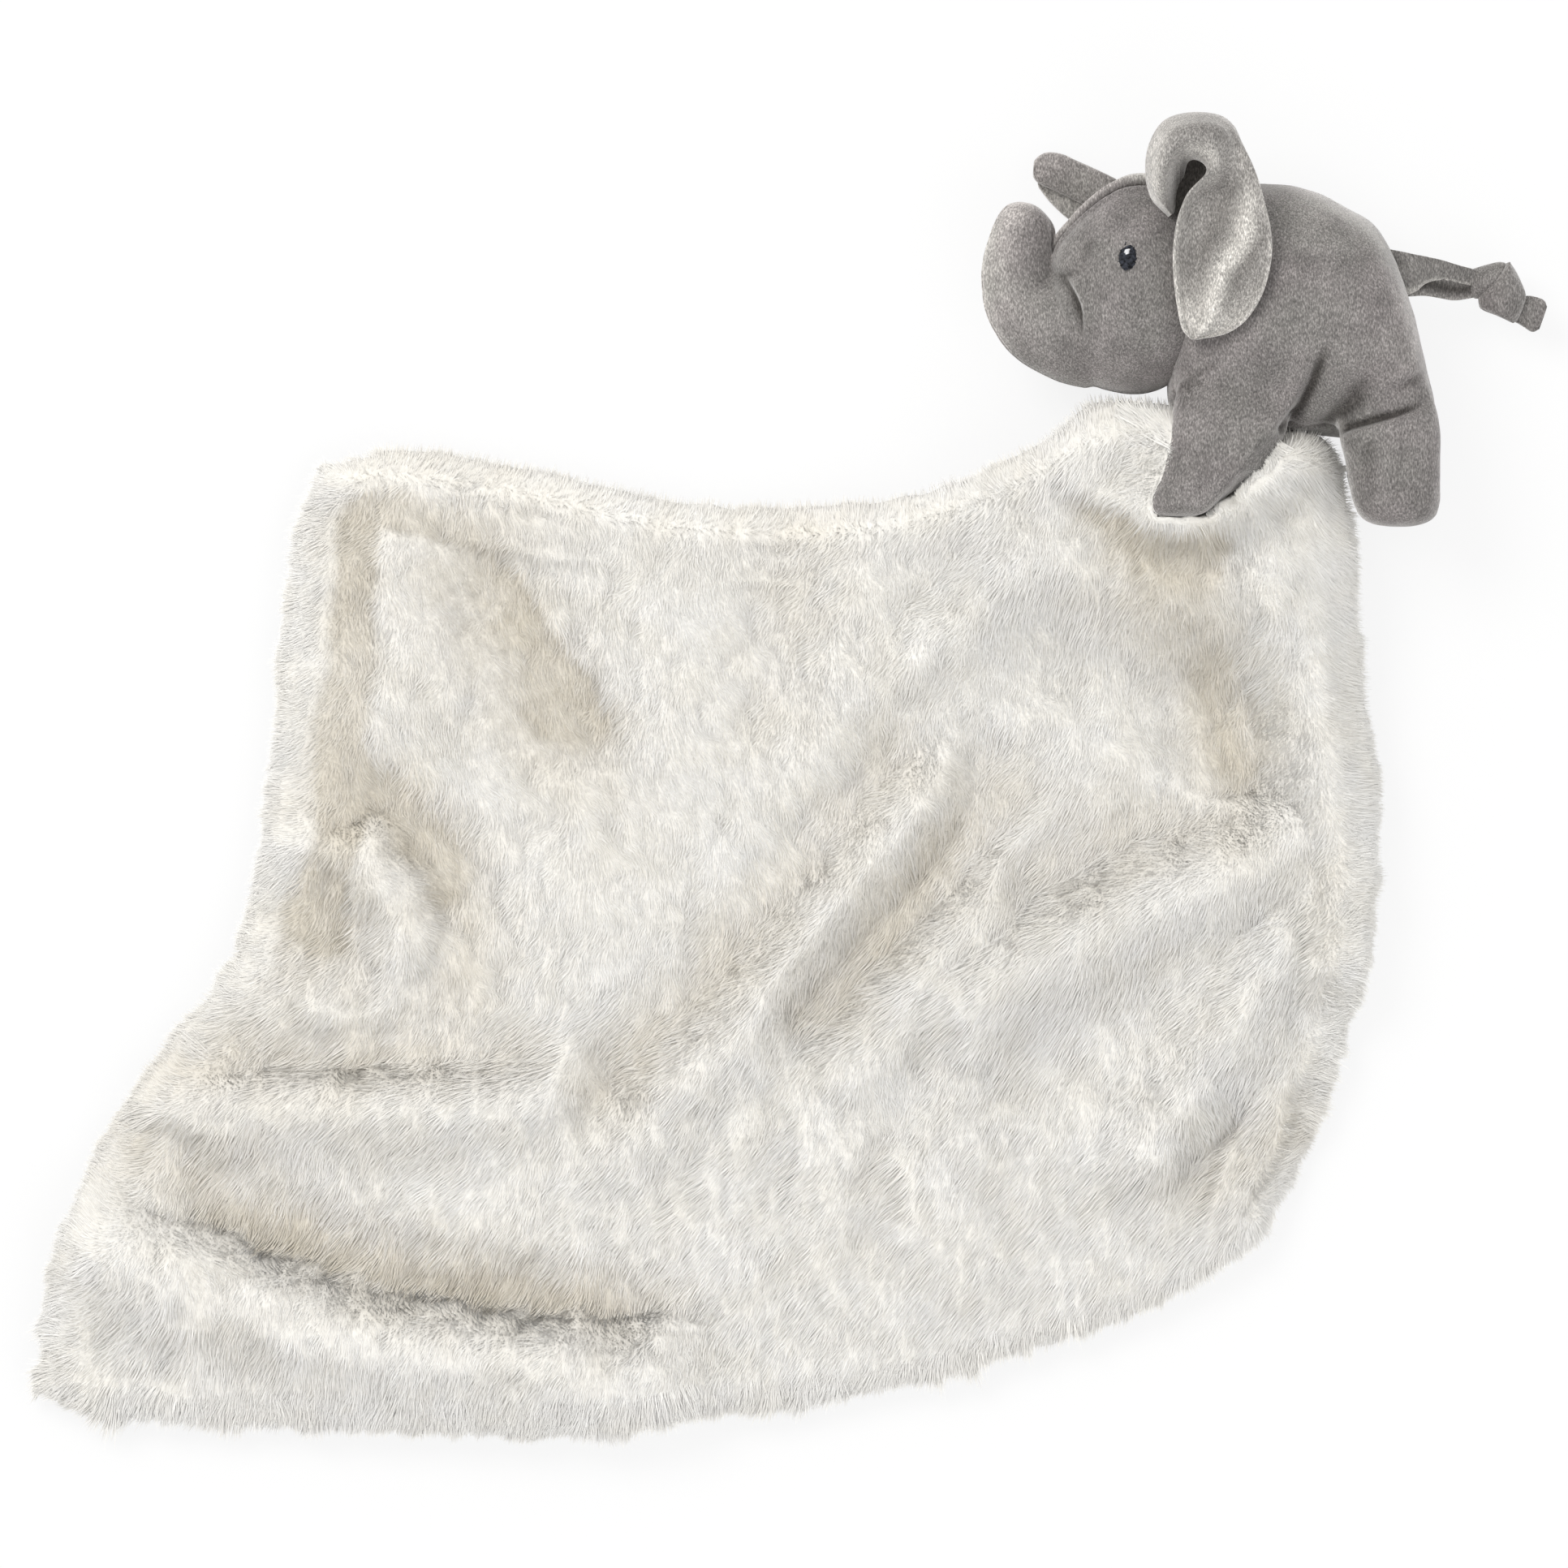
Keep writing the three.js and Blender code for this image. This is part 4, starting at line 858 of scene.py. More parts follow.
def fringe(name, grid, count, lower):
    # longer pile out over the whole edge, in tufts
    along = (np.arange(count) + random.uniform(0, 1, count)) / count * 4
    edge, t = np.floor(along).astype(int) % 4, along % 1
    inset = random.uniform(0, 1, count) ** 1.2 * fringeTufts["lowerInset" if lower else "inset"]
    u = np.choose(edge, [t, 1 - inset, 1 - t, inset])
    v = np.choose(edge, [inset, t, 1 - inset, 1 - t])
    place, normal, right, up, hollow = sampled(grid, "place normal right up hollow", u, v)
    normal = unit(normal)
    out, _ = outOverEdges(u, v, right, up, 40)
    out = unit(out)
    x, y = place[:, 0], place[:, 1]
    aside = np.cross([0, 0, 1.0], out)
    sway = 0.45 * softNoise(x, y, 9, 91) + 0.50 * softNoise(x, y, 3.2, 92) + random.normal(0, 0.16, count)
    down = np.array([-0.05, -0.25, 0.0])
    tuft = 1 + 0.30 * softNoise(x, y, 4.0, 93) + 0.18 * softNoise(x, y, 12, 94)
    length = fringeTufts["length"] * random.uniform(0.55, 1.1, count) * tuft
    length *= fringeTufts["lowerLength"] if lower else 1
    root = place - normal * 0.6 - out * 1.2
    way = out * 0.85 + aside * sway[:, None] + down + [0, 0, -0.18 if lower else 0.0]
    tip = root + length[:, None] * (way + normal * 0.16 - [0, 0, 0.10])
    gather(tip, x, y, fringeTufts["tipCell"], 0.22, 95)
    tip[:, 2] = np.maximum(tip[:, 2], 0.5)
    radius = fringeTufts["radius"] * random.uniform(0.75, 1.25, count)
    keep = tip[:, 2] < underLeg(tip) + blanket["clearOfLeg"]
    clump = softNoise(x, y, 2.4, 87) + 0.7 * softNoise(x, y, 1.3, 88)
    # painted shade in the hollows, with tone varying by clumps and at random, darker along the top edge
    whiteness = fringeTufts["whiteness"] - 0.5 * hollow + 0.05 * clump + random.normal(0, 0.05, count)
    whiteness -= 0.10 * bump(1 - v, 0.06)
    facing = (out * 0.3 if lower else normal + out * 0.2) + [0, 0, 0.9]
    facing = unit(facing + random.normal(0, 0.10, (count, 3)))
    pieces = []
    for i in range(1 if lower else 2):
        mine = keep if lower else keep & (edge // 2 == i)
        parts = (part[mine] for part in (root, tip, radius, facing, whiteness))
        pieces.append(tuftPiece(f"{name}_{i + 1}", *parts))
    return pieces


collarTufts = {
    "count": 9000,
    "along": (0.3, 0.93),  # of the way down the leg
    "beside": (0.8, 5),  # from its outline
    "top": 51.5,
    "radius": 0.26,
    "whiteness": 0.93,
    "lowest": 18,  # roots: only where the blanket's corner is lifted
    "farthestUp": 97,
}


def collar(grid):
    # long tufts that stand up along the near front leg and lean over its edge
    count = collarTufts["count"]
    t = random.uniform(*collarTufts["along"], count)
    line = np.array(nearLeg["line"])
    run = runOf(line)
    at = np.stack([np.interp(t * run[-1], run, line[:, k]) for k in (0, 1)], 1)
    way = unit(np.stack([np.interp(t * run[-1], run, np.gradient(line[:, k])) for k in (0, 1)], 1))
    side = random.choice([-1.0, 1.0], count)
    across = np.stack([-way[:, 1], way[:, 0]], 1) * side[:, None]
    half = np.interp(t, *np.array(nearLeg["halfWidths"]).T)
    beside = random.uniform(*collarTufts["beside"], count)
    spot = at + across * (half + beside)[:, None] + bodyMiddle[:2]
    x, y = spot.T
    over = 0.9 + 1.3 * softNoise(x, y, 3.2, 96) + random.normal(0, 0.4, count) - 0.5 * (beside - 1.5)
    lean = beside + over
    sway = 2.0 * softNoise(x, y, 3.2, 97) + random.normal(0, 0.6, count) - 1.5
    low = grid["place"].reshape(-1, 3)
    near = np.argmin(np.hypot(low[None, ::7, 0] - x[:, None], low[None, ::7, 1] - y[:, None]), 1)
    ground = low[::7, 2][near]
    top = collarTufts["top"] + 1.5 * softNoise(x, y, 3.4, 98) + random.normal(0, 0.8, count) - 0.5 * beside
    top = np.clip(top, ground + 1, ground + 5)
    root = np.stack([x, y, ground - 2], 1)
    over = -across * lean[:, None] + way * sway[:, None]
    tip = root + np.concatenate([over, (top - ground + 2)[:, None]], 1)
    facing = unit(np.concatenate([across * 0.3, np.ones((count, 1))], 1) + random.normal(0, 0.2, (count, 3)))
    radius = collarTufts["radius"] * random.uniform(0.7, 1.2, count)
    whiteness = collarTufts["whiteness"] + 0.08 * softNoise(x, y, 2.0, 99) + random.normal(0, 0.06, count)
    keep = (root[:, 2] > collarTufts["lowest"]) & (y < collarTufts["farthestUp"])
    return [tuftPiece("leg_collar", *(part[keep] for part in (root, tip, radius, facing, whiteness)))]


backTufts = {"rows": 150, "length": (4.5, 6.5), "radius": 0.34, "rise": 0.32, "sunk": 0.8, "whiteness": 0.9}


def backPile(grid):
    # pile pressed flat under the blanket
    u, v = jittered(backTufts["rows"])
    place, normal, right, up = sampled(grid, "place normal right up", u, v)
    out, hem = outOverEdges(u, v, right, up, 15)
    x, y = place[:, 0], place[:, 1]
    lean = layDirection(x, y, np.full(len(x), 0.8), out, hem)
    root = place - unit(normal) * backTufts["sunk"]
    way = unit(unit(normal) * backTufts["rise"] + lean)
    tip = root + way * random.uniform(*backTufts["length"], len(x))[:, None]
    tip[:, 2] = np.maximum(tip[:, 2], 0.3)
    root[:, 2] = np.maximum(root[:, 2], 0.4)
    keep = hem < 0.35
    radius = backTufts["radius"] * random.uniform(0.8, 1.2, len(x))
    whiteness = backTufts["whiteness"] + random.normal(0, 0.03, len(x))
    return [tuftPiece("back_pile", *(part[keep] for part in (root, tip, radius, normal, whiteness)))]


def makeBlanket():
    face, back = furGrid(blanket["faceCells"][0]), furGrid(blanket["backCells"][0], True)
    faceCloth = furCloth("face_cloth", face, blanket["faceCells"])
    backCloth = furCloth("back_cloth", back, blanket["backCells"])
    finish(faceCloth, fur, "blanket_and_torso", "white_fur", "blanket_face_panel")
    finish(backCloth, fur, "blanket_and_torso", "white_fur", "blanket_back_panel")
    tufts = facePile(face) + fringe("face_fringe", face, fringeTufts["count"], False)
    tufts += fringe("back_fringe", back, fringeTufts["count"] // 3, True) + backPile(back) + collar(face)
    for piece in tufts:
        finish(piece, furTips, "blanket_and_torso", "white_fur")


makeBlanket()
print("blanket made")


# The elephant's body

elephant = {
    "torso": (76, 75, 60),
    "leg": (39, 32.5, 20),
    "hindLeg": (42, 32.5, 20),
    "legPlaces": (-0.316, 0.328),  # of the torso's length
    "legTop": -0.264,  # of its height
    "legOffset": 16.45,
    "farLegShift": 1.8,  # right and up, so that the camera doesn't see the far leg beside the near one
    "head": (46, 62.5, 48),
    "gusset": 10,  # half the width of the forehead's and the belly's gusset
}

torsoProfile = [
    (0, -0.171, -0.357, 0.2), (0.025, 0, -0.403, 0.42), (0.061, 0.217, -0.425, 0.6),
    (0.123, 0.375, -0.441, 0.76), (0.245, 0.469, -0.45, 0.92), (0.383, 0.487, -0.453, 0.99),
    (0.528, 0.462, -0.462, 1), (0.675, 0.388, -0.478, 0.99), (0.798, 0.295, -0.5, 0.93),
    (0.883, 0.102, -0.515, 0.82), (0.951, -0.146, -0.509, 0.62), (0.985, -0.295, -0.475, 0.4),
    (1, -0.366, -0.425, 0.18),
]
headProfile = [
    (0, 0.119, -0.157, 0.2), (0.036, 0.187, -0.28, 0.42), (0.117, 0.272, -0.381, 0.64),
    (0.249, 0.388, -0.455, 0.85), (0.401, 0.474, -0.493, 0.97), (0.553, 0.504, -0.5, 1),
    (0.695, 0.481, -0.47, 0.97), (0.822, 0.41, -0.403, 0.88), (0.934, 0.291, -0.28, 0.62),
    (1, 0.168, -0.13, 0.25),
]
frontLegProfile = [
    (0, 0.5, -0.36, 0.45), (0.2, 0.59, -0.4, 0.86), (0.38, 0.586, -0.429, 1), (0.53, 0.479, -0.471, 1),
    (0.68, 0.321, -0.514, 1), (0.83, 0.1, -0.579, 0.95), (0.94, -0.071, -0.629, 0.82),
    (0.985, -0.14, -0.61, 0.55), (1, -0.22, -0.54, 0.3),
]
hindLegProfile = [
    (0, 0.3, -0.4, 0.45), (0.22, 0.4, -0.443, 0.86), (0.39, 0.421, -0.457, 1), (0.58, 0.429, -0.4, 1),
    (0.75, 0.421, -0.364, 1), (0.88, 0.407, -0.314, 0.95), (0.955, 0.357, -0.236, 0.8),
    (0.985, 0.271, -0.129, 0.5), (1, 0.18, -0.04, 0.25),
]
# trunk's middle line from the face and its width
trunkLine = [
    (0, 0, 31), (-7.45, 0.95, 29.1), (-15.8, 4.2, 25.4), (-20.95, 10.25, 22), (-22.55, 17.9, 19.8),
    (-21.65, 25.35, 18.3), (-20, 31.4, 16.4), (-18.6, 34.9, 12.4), (-17.65, 36.9, 4),
]
trunkRoot = (-10.5, -14.44)


def ovalForm(profile, size, forward, across, middle, startShare, rings=64, sides=96):
    # oval sections between an upper and a lower outline, carried along one direction
    forward, across = np.array(forward, float), np.array(across, float)
    through = np.cross(forward, across)
    places = endedPlaces(rings)
    upper, lower, depth = readTable(profile, places).T
    turn = 2 * np.pi * (np.arange(sides) + 0.5) / sides
    centre = middle + forward * ((places - startShare) * size[0])[:, None]
    centre = centre + across * ((upper + lower) / 2 * size[1])[:, None]
    tall = ((upper - lower) / 2 * size[1])[:, None, None] * np.cos(turn)[:, None]
    wide = (depth * size[2] / 2)[:, None, None] * np.sin(turn)[:, None]
    return skinOf(centre[:, None] + across * tall + through * wide)


bodyCreases = [
    {"line": [(-6.0, -34.0), (-1.2, -28.1), (2.3, -21.0), (6.2, -9.5)], "depth": 2.0, "width": 2.0,
     "ridge": 1.3, "ridgeSide": 1, "strength": [1, 1, 0.1]},
    {"line": [(6.5, -33.4), (13.6, -26.3), (20.5, -16.0)], "depth": 2.0, "width": 3.4,
     "strength": [1, 0.8, 0]},
    {"line": [(9.5, -34.6), (19.5, -31.6), (26.0, -29.9), (30.7, -28.1), (34.1, -26.9)], "depth": 2.3,
     "width": 1.3, "ridge": 0.8, "ridgeSide": -1, "strength": [1, 1, 0.3]},
    {"line": [(22.4, -24.8), (28.4, -22.2), (34.1, -18.3)], "depth": 1.0, "width": 1.7, "ridge": 0.8,
     "ridgeSide": 1, "strength": [0, 1, 0.7]},
    {"line": [(-41.5, -18.5), (-38.2, -24.0), (-37.6, -28.1), (-38.0, -33.8)], "depth": 0.9, "width": 1.6,
     "ridge": 0.5, "ridgeSide": 1, "strength": [0.1, 0.6, 0.4]},
    {"line": [(-10, -40), (-22, -48)], "depth": 0.5, "width": 3.0, "strength": [0.3, 1, 0]},
    {"line": [(-39.5, -21.5), (-36.0, -17.6), (-31.5, -15.6), (-27.0, -13.0)], "depth": 0.6, "width": 1.0,
     "ridge": 0.35, "ridgeSide": 1, "strength": [1, 1, 0]},
    {"line": [(-37.2, -24.6), (-33.6, -22.8), (-29.6, -20.6), (-26.2, -17.0)], "depth": 0.6, "width": 0.9,
     "ridge": 0.35, "ridgeSide": 1, "strength": [1, 1, 0]},
    {"line": [(-35.4, -30.5), (-33.2, -26.0), (-30.5, -23.4)], "depth": 0.5, "width": 0.9,
     "ridge": 0.3, "ridgeSide": -1, "strength": [0.4, 1, 0]},
]

# painted shade: darker lines where the cloth is drawn together at the neck and the belly: points, width and
# strength
bodyShadeLines = [
    ([(-23.5, -14.5), (-30.0, -18.5), (-36.0, -24.0), (-40.0, -28.0)], 1.0, 0.45),
    ([(-36.5, -19.5), (-33.2, -22.6), (-31.0, -26.4)], 0.7, 0.5),
    ([(-34.0, -17.5), (-30.6, -20.8), (-27.4, -23.6)], 0.6, 0.35),
    ([(-33.5, -24.5), (-34.5, -28.5)], 0.6, 0.4),
    ([(-6.0, -34.0), (-1.2, -28.1), (2.3, -21.0), (7.0, -8.0)], 1.5, 0.35),
    ([(9.5, -34.6), (19.5, -31.6), (26.0, -29.9), (34.1, -26.9)], 1.1, 0.55),
    ([(18.4, -37.0), (17.6, -44.0), (19.0, -52.0)], 2.2, 0.4),
]


def shadeNearLines(x, y, shadeLines):
    shade = np.zeros(x.shape)
    for line, width, strength in shadeLines:
        away, _, share = nearLine(x, y, line)
        shade = np.maximum(shade, strength * bump(away, width) * fade(share / 0.2) * fade((1 - share) / 0.3))
    return shade


def seamGroove(distance, along, depth, width):
    # a sewn seam: a narrow groove that the stitches pull tighter every 3 mm
    pull = 0.82 + 0.18 * np.cos(2 * np.pi * along / 3)
    return -depth * pull * bump(distance, width) + 0.35 * depth * bump(np.abs(distance) - 2.2 * width, width)


def puckers(points, amount, seed):
    # slow unevenness of a stuffed cloth
    x, y, z = points.T
    slow = softNoise(x + 0.6 * z, y - 0.3 * z, 9, seed) + 0.6 * softNoise(x - z, y + 0.5 * z, 4.5, seed + 1)
    return amount * slow


def makeBody():
    length, height, _ = elephant["torso"]
    right, up = (1, 0, 0), (0, 1, 0)
    forms = [ovalForm(torsoProfile, elephant["torso"], right, up, bodyMiddle, 0.5)]
    for profile, size, share in (
        (frontLegProfile, elephant["leg"], elephant["legPlaces"][0]),
        (hindLegProfile, elephant["hindLeg"], elephant["legPlaces"][1]),
    ):
        for side in (1, -1):
            shift = elephant["farLegShift"] if side < 0 else 0
            middle = bodyMiddle + [share * length + shift, elephant["legTop"] * height + shift,
                                   side * elephant["legOffset"]]
            forms.append(ovalForm(profile, size, (0, -1, 0), right, middle, 0))
    points, faces, edges = joinedSkin(forms, 0.75)
    points = relax(points, edges, 42)
    normals = pointNormals(points, faces)
    x, y, z = (points - bodyMiddle).T
    facing = fade(np.abs(normals[:, 2]) * 1.6)
    moved = 0.35 + facing * np.where(z > 0, 1, 0.7) * creased(x, y, bodyCreases)
    gusset = elephant["gusset"]
    belly = fade((-16 - y) / 8) * (1 - facing * 0.7)
    moved += belly * seamGroove(np.abs(z) - gusset, x, 0.7, 0.8) * (np.abs(z) > 6.6)
    moved += fade((y - 2 - 0.3 * x) / 10) * seamGroove(z, x, 0.7, 0.8)
    moved += puckers(points, 0.22, 41)
    points = points + normals * moved[:, None]
    points[:, 2] = np.maximum(points[:, 2], 0.05 * random.uniform(0, 1, len(points)))
    points = relax(points, edges, 2)
    body = makePiece("body_cover", points, faces)
    # painted shade in the creases and along the shade lines; painted highlight on the rump and the upper body
    shadeLines = facing * (z > 0) * shadeNearLines(x, y, bodyShadeLines)
    paint(body, "crease", np.maximum(0.1 - moved, 0) / 1.5 + shadeLines)
    rumpHighlight = 0.30 * bump(x - 32, 7) * fade((y + 25) / 20)
    paint(body, "paintedHighlight", (z > 0) * (rumpHighlight + 0.12 * fade((y - 10) / 20)))
    nodes = ["torso_left_panel", "torso_right_panel", "belly_gusset"]
    nodes += [f"{s}_{e}_leg_cover" for s in ("left", "right") for e in ("front", "hind")]
    nodes += ["right_front_leg_stuffing", "right_hind_leg_stuffing"]  # these legs are shifted off the solids
    finish(body, velour, None, "grey_velour", *nodes)
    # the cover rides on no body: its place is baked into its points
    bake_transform(body)


makeBody()
print("body made")


# Its head and trunk

headCreases = [
    {"line": [(-21.6, 2.3), (-19.3, -0.5), (-17.4, -4.8), (-15.9, -9.2), (-15.2, -13.1), (-14.5, -18.0)],
     "depth": 1.9, "width": 1.25, "ridge": 0.6, "ridgeSide": -1, "strength": [0.6, 1.15, 0.05]},
    {"line": [(-22.7, 2.5), (-19.3, 2.2), (-14.5, 1.5)], "depth": 1.2, "width": 1.2,
     "strength": [0.3, 1, 0.1]},
    {"line": [(-15.2, 3.5), (-13.0, 9.5), (-9.0, 14.5)], "depth": 0.8, "width": 2.4, "strength": [0.8, 1, 0]},
    {"line": [(-28, -20), (-14, -24), (0, -27)], "depth": 0.35, "width": 2.6, "strength": [0, 1, 0]},
]
gussetHalfWidths = [
    (-26.0, 1.0), (-21.2, 2.2), (-17.5, 4.2), (-15.2, 5.8), (-11.5, 8.0), (-6.6, 9.6), (0.6, 10.6),
    (14.0, 11.0), (30, 11.0),
]


def trunkForm(rings=72, sides=72):
    # oval sections square to the trunk's middle line
    rows = readEven(trunkLine, np.linspace(0, 1, rings + 1))
    middle = rows[:, :2]
    along = unit(np.gradient(middle, axis=0))
    across = np.stack([-along[:, 1], along[:, 0]], 1)
    half = np.maximum(rows[:, 2] / 2, 0.6)
    turn = 2 * np.pi * np.arange(sides) / sides
    flat = middle[:, None] + across[:, None] * (half[:, None] * np.cos(turn))[..., None]
    tall = (half[:, None] * 0.84 * np.sin(turn))[..., None]
    place = headMiddle + [*trunkRoot, 0]
    return skinOf(np.concatenate([flat, tall], -1) + place)


def makeHead():
    forms = [ovalForm(headProfile, elephant["head"], (1, 0, 0), (0, 1, 0), headMiddle, 0.5), trunkForm()]
    points, faces, edges = joinedSkin(forms, 0.55)
    points = relax(points, edges, 30)
    normals = pointNormals(points, faces)
    x, y, z = (points - headMiddle).T
    facing = fade(np.abs(normals[:, 2]) * 1.5)
    moved = 0.3 + facing * creased(x, y, headCreases)
    half = np.interp(x, *np.array(gussetHalfWidths).T)
    brow = fade((y + 0.2 * x - 2.5) / 3) * fade((x + 24.5) / 3)
    inset = half - np.abs(z)
    seam = seamGroove(inset, x + y, 1.9, 0.85)
    moved += brow * (seam + 0.8 * bump(inset - 1.9, 1.1) - 0.3 * bump(inset + 2.6, 2.0))
    chin = fade((-8 - y - 0.15 * x) / 6)
    moved += chin * seamGroove(z - 1.2, x, 0.5, 0.6)
    trunkBack = fade((-31 - x) / 5)
    moved += trunkBack * seamGroove(z - 1.6, y, 0.5, 0.55)
    moved += puckers(points, 0.12, 51)
    points = points + normals * moved[:, None]
    points = relax(points, edges, 1)
    head = makePiece("head_cover", points, faces)
    # painted shade in the creases and along the forehead seam; painted highlight on the trunk's upper left
    # side and beside the seam
    paint(head, "crease", np.maximum(-moved, 0) / 1.5 + 0.75 * brow * bump(inset, 0.6))
    lit = fade((-22 - x) / 9) * fade((normals[:, 1] - normals[:, 0]) * 0.8 + 0.15)
    lit = np.maximum(lit, 0.85 * brow * fade((inset - 0.7) / 0.8))
    paint(head, "paintedHighlight", lit * 0.8)
    nodes = [f"{part}_{side}_panel" for part in ("head", "trunk") for side in ("left", "right")]
    nodes.append("forehead_gusset")
    finish(head, velour, "head", "grey_velour", *nodes)
    return points


headPoints = makeHead()
print("head made")


# Its eyes, in satin stitch

eye = {
    "middle": (-2.0, 6.3),
    "width": 4.9,
    "height": 6.9,
    "threads": 22,
    "threadRadius": 0.2,
    # stitches over the eye: from x, y to x, y, how thick and how high
    "glint": {"stitches": [(-1.0, 1.5, 0.4, 1.9), (-0.8, 2.0, 0.6, 2.35), (-0.6, 1.05, 0.3, 1.4)],
              "radius": 0.28, "arch": 1.35},
    "thread_end": {"stitches": [(-0.75, 3.6, -0.55, 4.7)], "radius": 0.14, "arch": 0.4},
}


def surfaceOver(points, x, y, side):
    # the height of the cloth over each place, on its left (1) or right (-1) side
    away = np.hypot(points[None, :, 0] - x[:, None], points[None, :, 1] - y[:, None])
    heights = np.where(away < 0.7, side * (points[None, :, 2] - headMiddle[2]), -1e9)
    return headMiddle[2] + side * heights.max(1)


def threadPiece(name, starts, ends, points, side, radius, arch, around=8, rings=9):
    # each thread is a round stitch from start to end, arched over the cloth and sunk at its ends
    count = len(starts)
    t = np.linspace(0, 1, rings)
    flat = starts[:, None] * (1 - t[None, :, None]) + ends[:, None] * t[None, :, None]
    high = surfaceOver(points, flat[..., 0].ravel(), flat[..., 1].ravel(), side).reshape(count, rings)
    lift = (arch * np.sqrt(np.maximum(np.sin(np.pi * t), 0)) - 0.25) * side
    middle = np.concatenate([flat, (high + lift)[..., None]], -1)
    along = unit(np.gradient(middle, axis=1))
    across = unit(np.cross(along, [0, 0, 1.0]))
    upward = np.cross(across, along)
    turn = 2 * np.pi * np.arange(around) / around
    thick = radius * np.sqrt(np.clip(4 * t * (1 - t) * 2.5, 0.12, 1))[None, :, None, None]
    ring = np.cos(turn)[:, None] * across[:, :, None] + np.sin(turn)[:, None] * upward[:, :, None]
    return makePiece(name, *together([skinOf(rows) for rows in middle[:, :, None] + ring * thick]))


def makeEye(name, side, node):
    centre = headMiddle[:2] + eye["middle"]
    rows = np.linspace(-0.94, 0.94, eye["threads"])
    jitter = np.random.default_rng(61).uniform(-0.18, 0.18, (2, eye["threads"]))
    half = eye["width"] / 2 * np.sqrt(1 - rows**2) + 0.25
    y = rows * eye["height"] / 2
    starts = centre + np.stack([-half + jitter[0], y - 0.35], 1)
    ends = centre + np.stack([half + jitter[1], y + 0.35], 1)
    threads = threadPiece(name, starts, ends, headPoints, side, eye["threadRadius"], 0.75)
    finish(threads, blackThread, "head", "black_thread", node)
    for part, material in (("glint", whiteThread), ("thread_end", blackThread)):
        stitches = np.array(eye[part]["stitches"])
        starts, ends = centre + stitches[:, :2], centre + stitches[:, 2:]
        radius, arch = eye[part]["radius"], eye[part]["arch"]
        more = threadPiece(f"{name}_{part}", starts, ends, headPoints, side, radius, arch)
        finish(more, material, "head", "black_thread")


makeEye("left_eye_stitches", 1, "left_eye")
makeEye("right_eye_stitches", -1, "right_eye")
print("eyes made")


# Its ears

def padBetween(edgeA, edgeB, heights, thick, steps=(110, 64), full=0.55, detail=None):
    # a closed pad: its middle surface is ruled from edge A to edge B at the given heights, and
    # its two sides bulge from that by half the thickness times a power of the sine across it
    t = endedPlaces(steps[0])
    a, b = readEven(edgeA, t), readEven(edgeB, t)
    turn = 2 * np.pi * np.arange(steps[1]) / steps[1]
    s = (1 - np.cos(turn)) / 2
    height = readEven(readEven(heights, t).T, s).T
    flat = a[:, None] * (1 - s[:, None]) + b[:, None] * s[:, None]
    across = np.linalg.norm(b - a, axis=1)[:, None]
    swell = np.sign(np.sin(turn)) * np.abs(np.sin(turn)) ** full
    body = readEven(np.array(thick, float)[:, None], t)
    offset = body / 2 * swell
    z = height + offset
    if detail:
        z = z + detail(t[:, None], s[None, :], across * s, across * (1 - s)) * (np.sin(turn) > 0)
    return np.concatenate([flat, z[..., None]], -1)


def padPlaces(rings, sides):
    # the share of the way along a pad, and across it, at each point of such a pad
    return endedPlaces(rings)[:, None], (1 - np.cos(2 * np.pi * np.arange(sides) / sides))[None] / 2


earInner = [
    (15.8, -17.1), (13.2, -14.2), (11.8, -8.1), (10.9, -1.5), (10.5, 5.6), (10.9, 11.7), (11.9, 17.3),
    (14.3, 23.6), (17.0, 26.8), (19.4, 29.2), (20.0, 31.2), (18.8, 32.9), (16.8, 33.8), (15.2, 33.4),
    (14.6, 31.6), (14.8, 29.0), (15.0, 26.4), (13.8, 23.2), (11.8, 19.6),
]
earOuter = [
    (17.7, -17.2), (25.7, -15.6), (31.3, -11.8), (35.6, -5.2), (37.9, 2.3), (38.6, 9.3), (37.9, 15.5),
    (36.4, 21.6), (34.9, 27.2), (32.8, 32.9), (30.2, 38.5), (28.0, 43.4), (23.8, 46.7), (15.8, 47.5),
    (8.3, 45.3), (4.1, 39.0), (2.9, 31.5), (4.5, 23.5), (9.7, 18.0),
]
# heights over the head's middle along the ear (rows) and from its inner to its outer edge (columns)
earHeights = [
    (28.0, 28.0, 28.0, 28.0, 28.0),
    (30.0, 28.3, 31.6, 30.0, 31.5),
    (30.8, 26.0, 32.4, 28.6, 33.2),
    (31.0, 25.0, 27.6, 32.2, 34.0),
    (31.5, 26.6, 26.0, 32.4, 34.5),
    (33.8, 33.2, 31.0, 31.0, 33.0),
    (31.0, 35.2, 35.4, 34.0, 29.0),
    (27.0, 34.4, 37.0, 34.0, 26.5),
    (17.5, 28.5, 35.4, 33.5, 25.5),
    (12.5, 20.0, 30.5, 32.0, 24.0),
    (14.0, 18.0, 22.0, 23.0, 20.0),
]


def earDetail(t, s, fromInner, fromOuter):
    # a welt along both rims with a groove inside it, puckers below and ribs by the pocket
    rim = 0.45 * bump(fromInner - 0.9, 0.8) + 0.45 * bump(fromOuter - 0.9, 0.8)
    groove = -0.3 * bump(fromInner - 2.6, 0.7) - 0.3 * bump(fromOuter - 2.6, 0.7)
    low = bump(t - 0.16, 0.07) * bump(s - 0.80, 0.14)
    pucker = 0.45 * low * np.sin(2 * np.pi * (t * 62 + 1.5 * np.sin(9 * s)))
    ribs = 0.40 * bump(t - 0.88, 0.09) * bump(s - 0.26, 0.20) * np.sin(2 * np.pi * s * 15)
    return rim + groove + pucker + ribs


